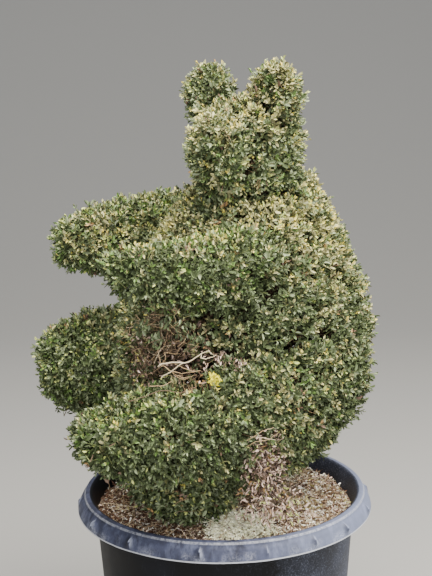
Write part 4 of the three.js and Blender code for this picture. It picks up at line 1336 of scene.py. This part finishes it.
def grow_leaves(shoots, random):
    """The pairs of leaves on each shoot, set crosswise."""
    tips, ways, families = shoots["tips"], shoots["ways"], shoots["families"]
    first = unit(np.cross(ways, unit(random.normal(size=ways.shape))))
    second = np.cross(ways, first)
    corner_sets, tone_sets = [], []
    count = len(tips)
    larger = 1 + 0.3 * np.clip(ripple(tips, 55, 24), -0.3, 1)
    for level, pair in enumerate(PAIRS):
        for half in (0, math.pi):
            around = half + level * math.pi / 2 + random.normal(0, 0.22, count)
            aside = first * np.cos(around)[:, None] + second * np.sin(around)[:, None]
            tilt = np.radians(pair["angle"] + random.normal(0, LEAF_TILT_SPREAD, count))
            lean = ways * np.cos(tilt)[:, None] + aside * np.sin(tilt)[:, None]
            top = unit(ways * np.sin(tilt)[:, None] - aside * np.cos(tilt)[:, None]
                       + random.normal(0, 0.25, (count, 3)))
            roots = tips - ways * (pair["depth"] + random.uniform(-1, 1, count))[:, None]
            lengths = pair["length"] * random.uniform(*LEAF_SIZES, count) * larger
            folds = random.choice(LEAF_FOLDS[0], size=count, p=LEAF_FOLDS[1])
            tones = FAMILY_TONES[families, level]
            stray = (random.uniform(size=count) < STRAY_TONE_SHARE) & (tones != LEAF["gold"])
            tones = np.where(stray, NEIGHBOUR_TONES[tones, random.integers(0, 2, count)], tones)
            kept = random.uniform(size=count) > LOST_LEAF_SHARE
            corner_sets.append(leaf_corners(roots, lean, top, lengths, cup=folds)[kept])
            tone_sets.append(tones[kept])
    return corner_sets, tone_sets


def scatter_leaves(roots, lengths, tones, random, flat=0.0, width=LEAF_WIDTH):
    """Loose leaves that point anywhere, lying down so far as flat goes to 1."""
    ways = unit(random.normal(size=roots.shape) * [1, 1, 1 - 0.85 * flat])
    tops = unit(random.normal(size=roots.shape) + [0, 0, 4 * flat])
    folds = random.choice(LOOSE_FOLDS, size=len(roots))
    return [leaf_corners(roots, ways, tops, lengths, width, folds)], [tones]


def grow_inner_leaves(shoots, random):
    """The older, darker leaves that hang on inside the skin."""
    tips, ways = shoots["tips"], shoots["ways"]
    kept = random.uniform(size=len(tips)) < INNER_SHARE
    roots = tips[kept] - ways[kept] * random.uniform(*INNER_DEPTH, (kept.sum(), 1))
    count = len(roots)
    tones = pick(INNER_TONES, LEAF, count, random)
    lengths = INNER_LENGTH * random.uniform(*INNER_SIZES, count)
    return scatter_leaves(roots, lengths, tones, random)


def grow_dead_leaves(mass, patch, random):
    """Dead leaves caught in a bare patch, from the clipped face well into the plant."""
    w, angle = mass.places(patch["dead"], random)
    roots = mass.surface(w, angle, -random.uniform(*DEAD_LEAF_DEPTH, len(w)))
    kept = patch_depth(patch, roots) < DEAD_LEAF_REACH
    kept &= is_clear(mass, roots, DEAD_LEAF_GAP)
    roots = roots[kept]
    tones = pick(patch["tones"], LEAF, len(roots), random)
    return scatter_leaves(roots, random.uniform(*DEAD_LEAF_LENGTH, len(roots)), tones, random)


def lay_out_leaves(mass, corners, faces, tones):
    """A mass's leaves as pieces of under MOST_TRIANGLES faces each, split between leaves."""
    parts = math.ceil(len(faces) / MOST_TRIANGLES)
    block = len(LEAF_FACES)
    leaves = len(faces) // block
    for k in range(parts):
        rows = slice(leaves * k // parts * block, leaves * (k + 1) // parts * block)
        first, last = faces[rows].min(), faces[rows].max()
        name = f"{mass.name}_leaves" if parts == 1 else f"{mass.name}_leaves_{k + 1}"
        piece = mesh_piece(name, corners[first:last + 1], faces[rows] - first, LEAF_MATERIALS,
                           tones[rows])
        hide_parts(mass.name)


def grow_twigs(mass, shoots, bare, random):
    """The stem, its forks, the sprigs on the forks and a twig up each shoot, leafy or bare."""
    path, _ = LIMBS[mass.spec["parent"]]
    foot = spline(path, np.array([float(mass.spec["at"])]))[0]
    heart = mass.centre(0.0)
    tips, ways = shoots["tips"], shoots["ways"]
    bare_ends = bare["tips"] - bare["ways"] * random.uniform(4, 24, (len(bare["tips"]), 1))
    ends = np.concatenate([tips - ways * 2, bare_ends])
    feet = np.concatenate([tips - ways * SHOOT_LENGTH, bare["tips"] - bare["ways"] * SHOOT_LENGTH])
    sprig_count = max(6, len(ends) // SHOOTS_PER_SPRIG)
    fork_count = max(4, sprig_count // SPRIGS_PER_FORK)

    def spread(count, depth):
        w = 1 - 2 * (np.arange(count) + 0.5) / count
        middle = mass.centre(w * 0.86)
        return middle, mass.surface(w, np.arange(count) * GOLDEN_ANGLE, -depth)

    middles, edges = spread(fork_count, SPRIG_DEPTH * 1.2)
    forks = middles + (edges - middles) * 0.72
    _, sprigs = spread(sprig_count, SPRIG_DEPTH)
    sprigs = sprigs + random.normal(0, 5, sprigs.shape)
    of_sprig = nearest(forks, sprigs)
    of_shoot = nearest(sprigs, feet)
    green = np.arange(len(ends)) < len(tips)
    return join_meshes([
        rods(foot[None], heart[None], *STEM_RADII, TWIG["brown"], 6),
        rods(np.repeat(heart[None], fork_count, 0), forks, *FORK_RADII, TWIG["brown"]),
        rods(forks[of_sprig], sprigs, *SPRIG_RADII, TWIG["brown"]),
        rods(sprigs[of_shoot], feet, *SPUR_RADII, TWIG["brown"]),
        rods(feet[green], ends[green], *LEAFY_RADII, TWIG["green"]),
        rods(feet[~green], ends[~green], *BARE_RADII, TWIG["tan"]),
    ])


def grow_mass(mass, number):
    """One mass: its leaves and its twigs, each kind a joined mesh."""
    random = np.random.default_rng(SEEDS["masses"] + number)
    shoots, bare = grow_shoots(mass, random)
    corner_sets, tone_sets = grow_leaves(shoots, random)
    extra = [grow_inner_leaves(shoots, random), grow_inner_leaves(bare, random)]
    for patch in BARE_PATCHES:
        if mass.name in patch["masses"]:
            extra.append(grow_dead_leaves(mass, patch, random))
    for corners, tones in extra:
        corner_sets += corners
        tone_sets += tones
    near = [mass.share(leaves[:, 0], OVERREACH) < 1 for leaves in corner_sets]
    corner_sets = [leaves[rows] for leaves, rows in zip(corner_sets, near)]
    tone_sets = [tones[rows] for tones, rows in zip(tone_sets, near)]
    corners, faces, tones = join_leaves(corner_sets, tone_sets)
    lay_out_leaves(mass, corners, faces, tones)
    corners, faces, tones = grow_twigs(mass, shoots, bare, random)
    piece = mesh_piece(f"{mass.name}_twigs", corners, faces, TWIG_MATERIALS, tones)
    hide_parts(mass.name)


def wander(starts, ways, lengths, steps, bend, random):
    """Lines of points that set out along the given ways and wander as dry twigs do."""
    points = [starts]
    heading = unit(ways)
    for _ in range(steps):
        heading = unit(heading + random.normal(0, bend, heading.shape))
        points.append(points[-1] + heading * (lengths / steps)[:, None])
    return np.stack(points, axis=1)


def grow_bare_patch(patch, number):
    """Bare twigs in a patch: crooked ones, long and short, that cross it."""
    random = np.random.default_rng(SEEDS["bare_patches"] + number)
    middle = np.array(patch["middle"], float)
    a, b, c = patch["half"]
    count = patch["twigs"]
    spot = unit(random.normal(size=(count, 3))) * random.uniform(0.1, 0.85, (count, 1)) ** 0.5
    depth = np.abs(spot[:, 1:2]) * 0.9
    starts = middle + spot[:, 0:1] * a * PHOTO_RIGHT + depth * b * PHOTO_AWAY
    starts = starts + spot[:, 2:3] * c * UP
    ways = (PHOTO_RIGHT * random.normal(0, 1, (count, 1))
            - PHOTO_AWAY * random.uniform(-0.2, 0.6, (count, 1))
            + UP * random.normal(0.15, 0.55, (count, 1)))
    lengths = random.uniform(*DEAD_TWIG_LENGTH, count)
    lines = wander(starts, ways, lengths, DEAD_TWIG_STEPS, 0.3, random)
    kept = np.array([(patch_depth(patch, line) < DEAD_TWIG_REACH).all() for line in lines])
    lines = lines[kept]
    thick = random.uniform(*DEAD_TWIG_RADIUS, len(lines))
    kinds = pick(DEAD_TWIG_TONES, TWIG, len(lines), random)
    corners, faces, tones = wandering_rods(lines, thick, thick * 0.5, kinds)
    piece = mesh_piece(f"{patch['name']}_bare_twigs", corners, faces, TWIG_MATERIALS, tones)


def photo_place(right, away, up):
    """A place given along the photograph's width, into it, and up."""
    return PHOTO_RIGHT * right + PHOTO_AWAY * away + UP * up


def lay_twigs():
    """The long dead twigs that lie across the lap and the haunch."""
    random = np.random.default_rng(SEEDS["laid_twigs"])
    t = np.linspace(0, 1, LAID_STEPS + 1)
    bow = PHOTO_AWAY * np.sin(np.linspace(0, math.pi, LAID_STEPS + 1))[:, None] * LAID_BOW
    twigs = []
    for twig in LAID_TWIGS:
        places = np.array([photo_place(right, twig["away"], up) for right, up in twig["line"]])
        line = spline(places, t)
        line = line + random.normal(0, LAID_WOBBLE, line.shape) - bow
        thick = np.array([twig["thick"]])
        tone = TWIG[twig["tone"]]
        twigs.append(wandering_rods(line[None], thick, thick * LAID_TAPER, tone, 6))
    corners, faces, tones = join_meshes(twigs)
    mesh_piece("laid_twigs", corners, faces, TWIG_MATERIALS, tones)


def hang_leaves():
    """Leaves that hang in small clusters in the lap and down the bare haunch, most of them dead."""
    random = np.random.default_rng(SEEDS["hanging"])
    corner_sets, tone_sets = [], []
    for cluster in HANGING_LEAVES:
        count = cluster["count"]
        a, b, c = cluster["half"]
        spread = unit(random.normal(size=(count, 3))) * random.uniform(0, 1, (count, 1)) ** 0.4
        roots = (photo_place(*cluster["middle"]) + spread[:, :1] * a * PHOTO_RIGHT
                 + spread[:, 1:2] * b * PHOTO_AWAY + spread[:, 2:] * c * UP)
        ways = unit(random.normal(0, cluster["stray"], (count, 3)) - UP)
        tops = unit(random.normal(size=(count, 3)) - PHOTO_AWAY)
        tones = pick(cluster["tones"], LEAF, count, random)
        folds = random.choice(LOOSE_FOLDS, size=count)
        lengths = random.uniform(*cluster["size"], count)
        corner_sets.append(leaf_corners(roots, ways, tops, lengths, cluster["width"], folds))
        tone_sets.append(tones)
    corners, faces, tones = join_leaves(corner_sets, tone_sets)
    mesh_piece("hanging_leaves", corners, faces, LEAF_MATERIALS, tones)


def in_litter_patch(patch, places, random):
    """True for pieces of litter in an oval patch with a loose edge."""
    turn = math.radians(patch["turn"])
    offset = places[:, :2] - patch["middle"]
    a, b = patch["half"]
    u = (offset[:, 0] * math.cos(turn) + offset[:, 1] * math.sin(turn)) / b
    v = (-offset[:, 0] * math.sin(turn) + offset[:, 1] * math.cos(turn)) / a
    loose = random.uniform(0.6, 1.05, len(places))
    return np.hypot(u, v) + 0.2 * ripple(places, 25, 33) < loose


def scatter_litter():
    """Dead leaves and snapped twigs, strewn thickly over the soil."""
    random = np.random.default_rng(SEEDS["litter"])
    reach = POT["wall_top_radius"] - POT["wall"] - LITTER_EDGE
    count = int(math.pi * reach ** 2 / LITTER_AREA)
    radius = reach * np.sqrt((np.arange(count) + 0.5) / count)
    angle = np.arange(count) * GOLDEN_ANGLE
    places = np.stack([radius * np.cos(angle), radius * np.sin(angle), 0 * radius], axis=1)
    places[:, :2] += random.normal(0, 3, (count, 2))
    radius = np.hypot(places[:, 0], places[:, 1])
    kept = (radius < reach) & (radius > LITTER_FOOT)
    places, radius = places[kept], radius[kept]
    count = len(places)
    heaped = 2.5 * ripple(places, 40, 31) + 1.5 * ripple(places, 15, 32)
    places[:, 2] = soil_height(radius) + 2.5 + heaped + random.uniform(-1.5, 4, count)
    tones = pick({name: share for name, (_, share) in LITTER.items()}, LITTER_TONE, count, random)
    pale = in_litter_patch(PALE_PATCH, places, random)
    changed = pale & (random.uniform(size=count) < PALE_PATCH["share"])
    tones = np.where(changed, LITTER_TONE["pale"], tones)
    olive = in_litter_patch(OLIVE_PATCH, places, random)
    changed = olive & (random.uniform(size=count) < OLIVE_PATCH["share"])
    tones = np.where(changed, LITTER_TONE["olive"], tones)
    # Painted shade: brown litter is dealt more thickly in shaded patches, under the seat and on the
    # left.
    seat = next(mass for mass in MASS_LIST if mass.name == "seat")
    shaded = ripple(places, 60, 34) + 0.6 * ripple(places, 26, 35)
    dark = (shaded > 1.0) | (seat.share(places + UP * 30) < 1.1)
    dark |= places @ PHOTO_RIGHT < DARK_SIDE
    changed = dark & ~pale & (random.uniform(size=count) < DARK_SHARE)
    tones = np.where(changed, LITTER_TONE["brown"], tones)
    lengths = random.uniform(*LITTER_LENGTH, count)
    widths = random.uniform(*LITTER_WIDTH, count)
    corner_sets, tone_sets = scatter_leaves(places, lengths, tones, random, 0.7, widths)
    shreds = np.repeat(places[pale], SHREDS_EACH, axis=0)
    shreds = shreds + random.normal(0, 1, shreds.shape) * [4, 4, 1.5] + UP * 3
    tones = pick(SHRED_TONES, LITTER_TONE, len(shreds), random)
    lengths = random.uniform(*SHRED_LENGTH, len(shreds))
    fine, fine_tones = scatter_leaves(shreds, lengths, tones, random, 0.9, SHRED_WIDTH)
    corners, faces, tones = join_leaves(corner_sets + fine, tone_sets + fine_tones)
    mesh_piece("litter_leaves", corners, faces, LITTER_MATERIALS, tones)

    starts = places[random.integers(0, count, LITTER_TWIGS)] + UP * 3
    ways = random.normal(size=(LITTER_TWIGS, 3)) * [1, 1, 0.2]
    lengths = random.uniform(*LITTER_TWIG_LENGTH, LITTER_TWIGS)
    lines = wander(starts, ways, lengths, LITTER_TWIG_STEPS, 0.2, random)
    line_radius = np.hypot(lines[..., 0], lines[..., 1])
    lines[..., 2] = np.maximum(lines[..., 2], soil_height(line_radius) + 1.5)
    lines = lines[line_radius.max(axis=1) < reach]
    thick = random.uniform(*LITTER_TWIG_RADIUS, len(lines))
    kinds = pick(LITTER_TWIG_TONES, TWIG, len(lines), random)
    corners, faces, tones = wandering_rods(lines, thick, thick * 0.6, kinds)
    mesh_piece("litter_twigs", corners, faces, TWIG_MATERIALS, tones)


make_pot()
make_soil()
make_bark()
scatter_litter()
for number, mass in enumerate(MASS_LIST):
    grow_mass(mass, number)
for number, patch in enumerate(BARE_PATCHES):
    grow_bare_patch(patch, number)
lay_twigs()
hang_leaves()

set_camera()
set_stage()
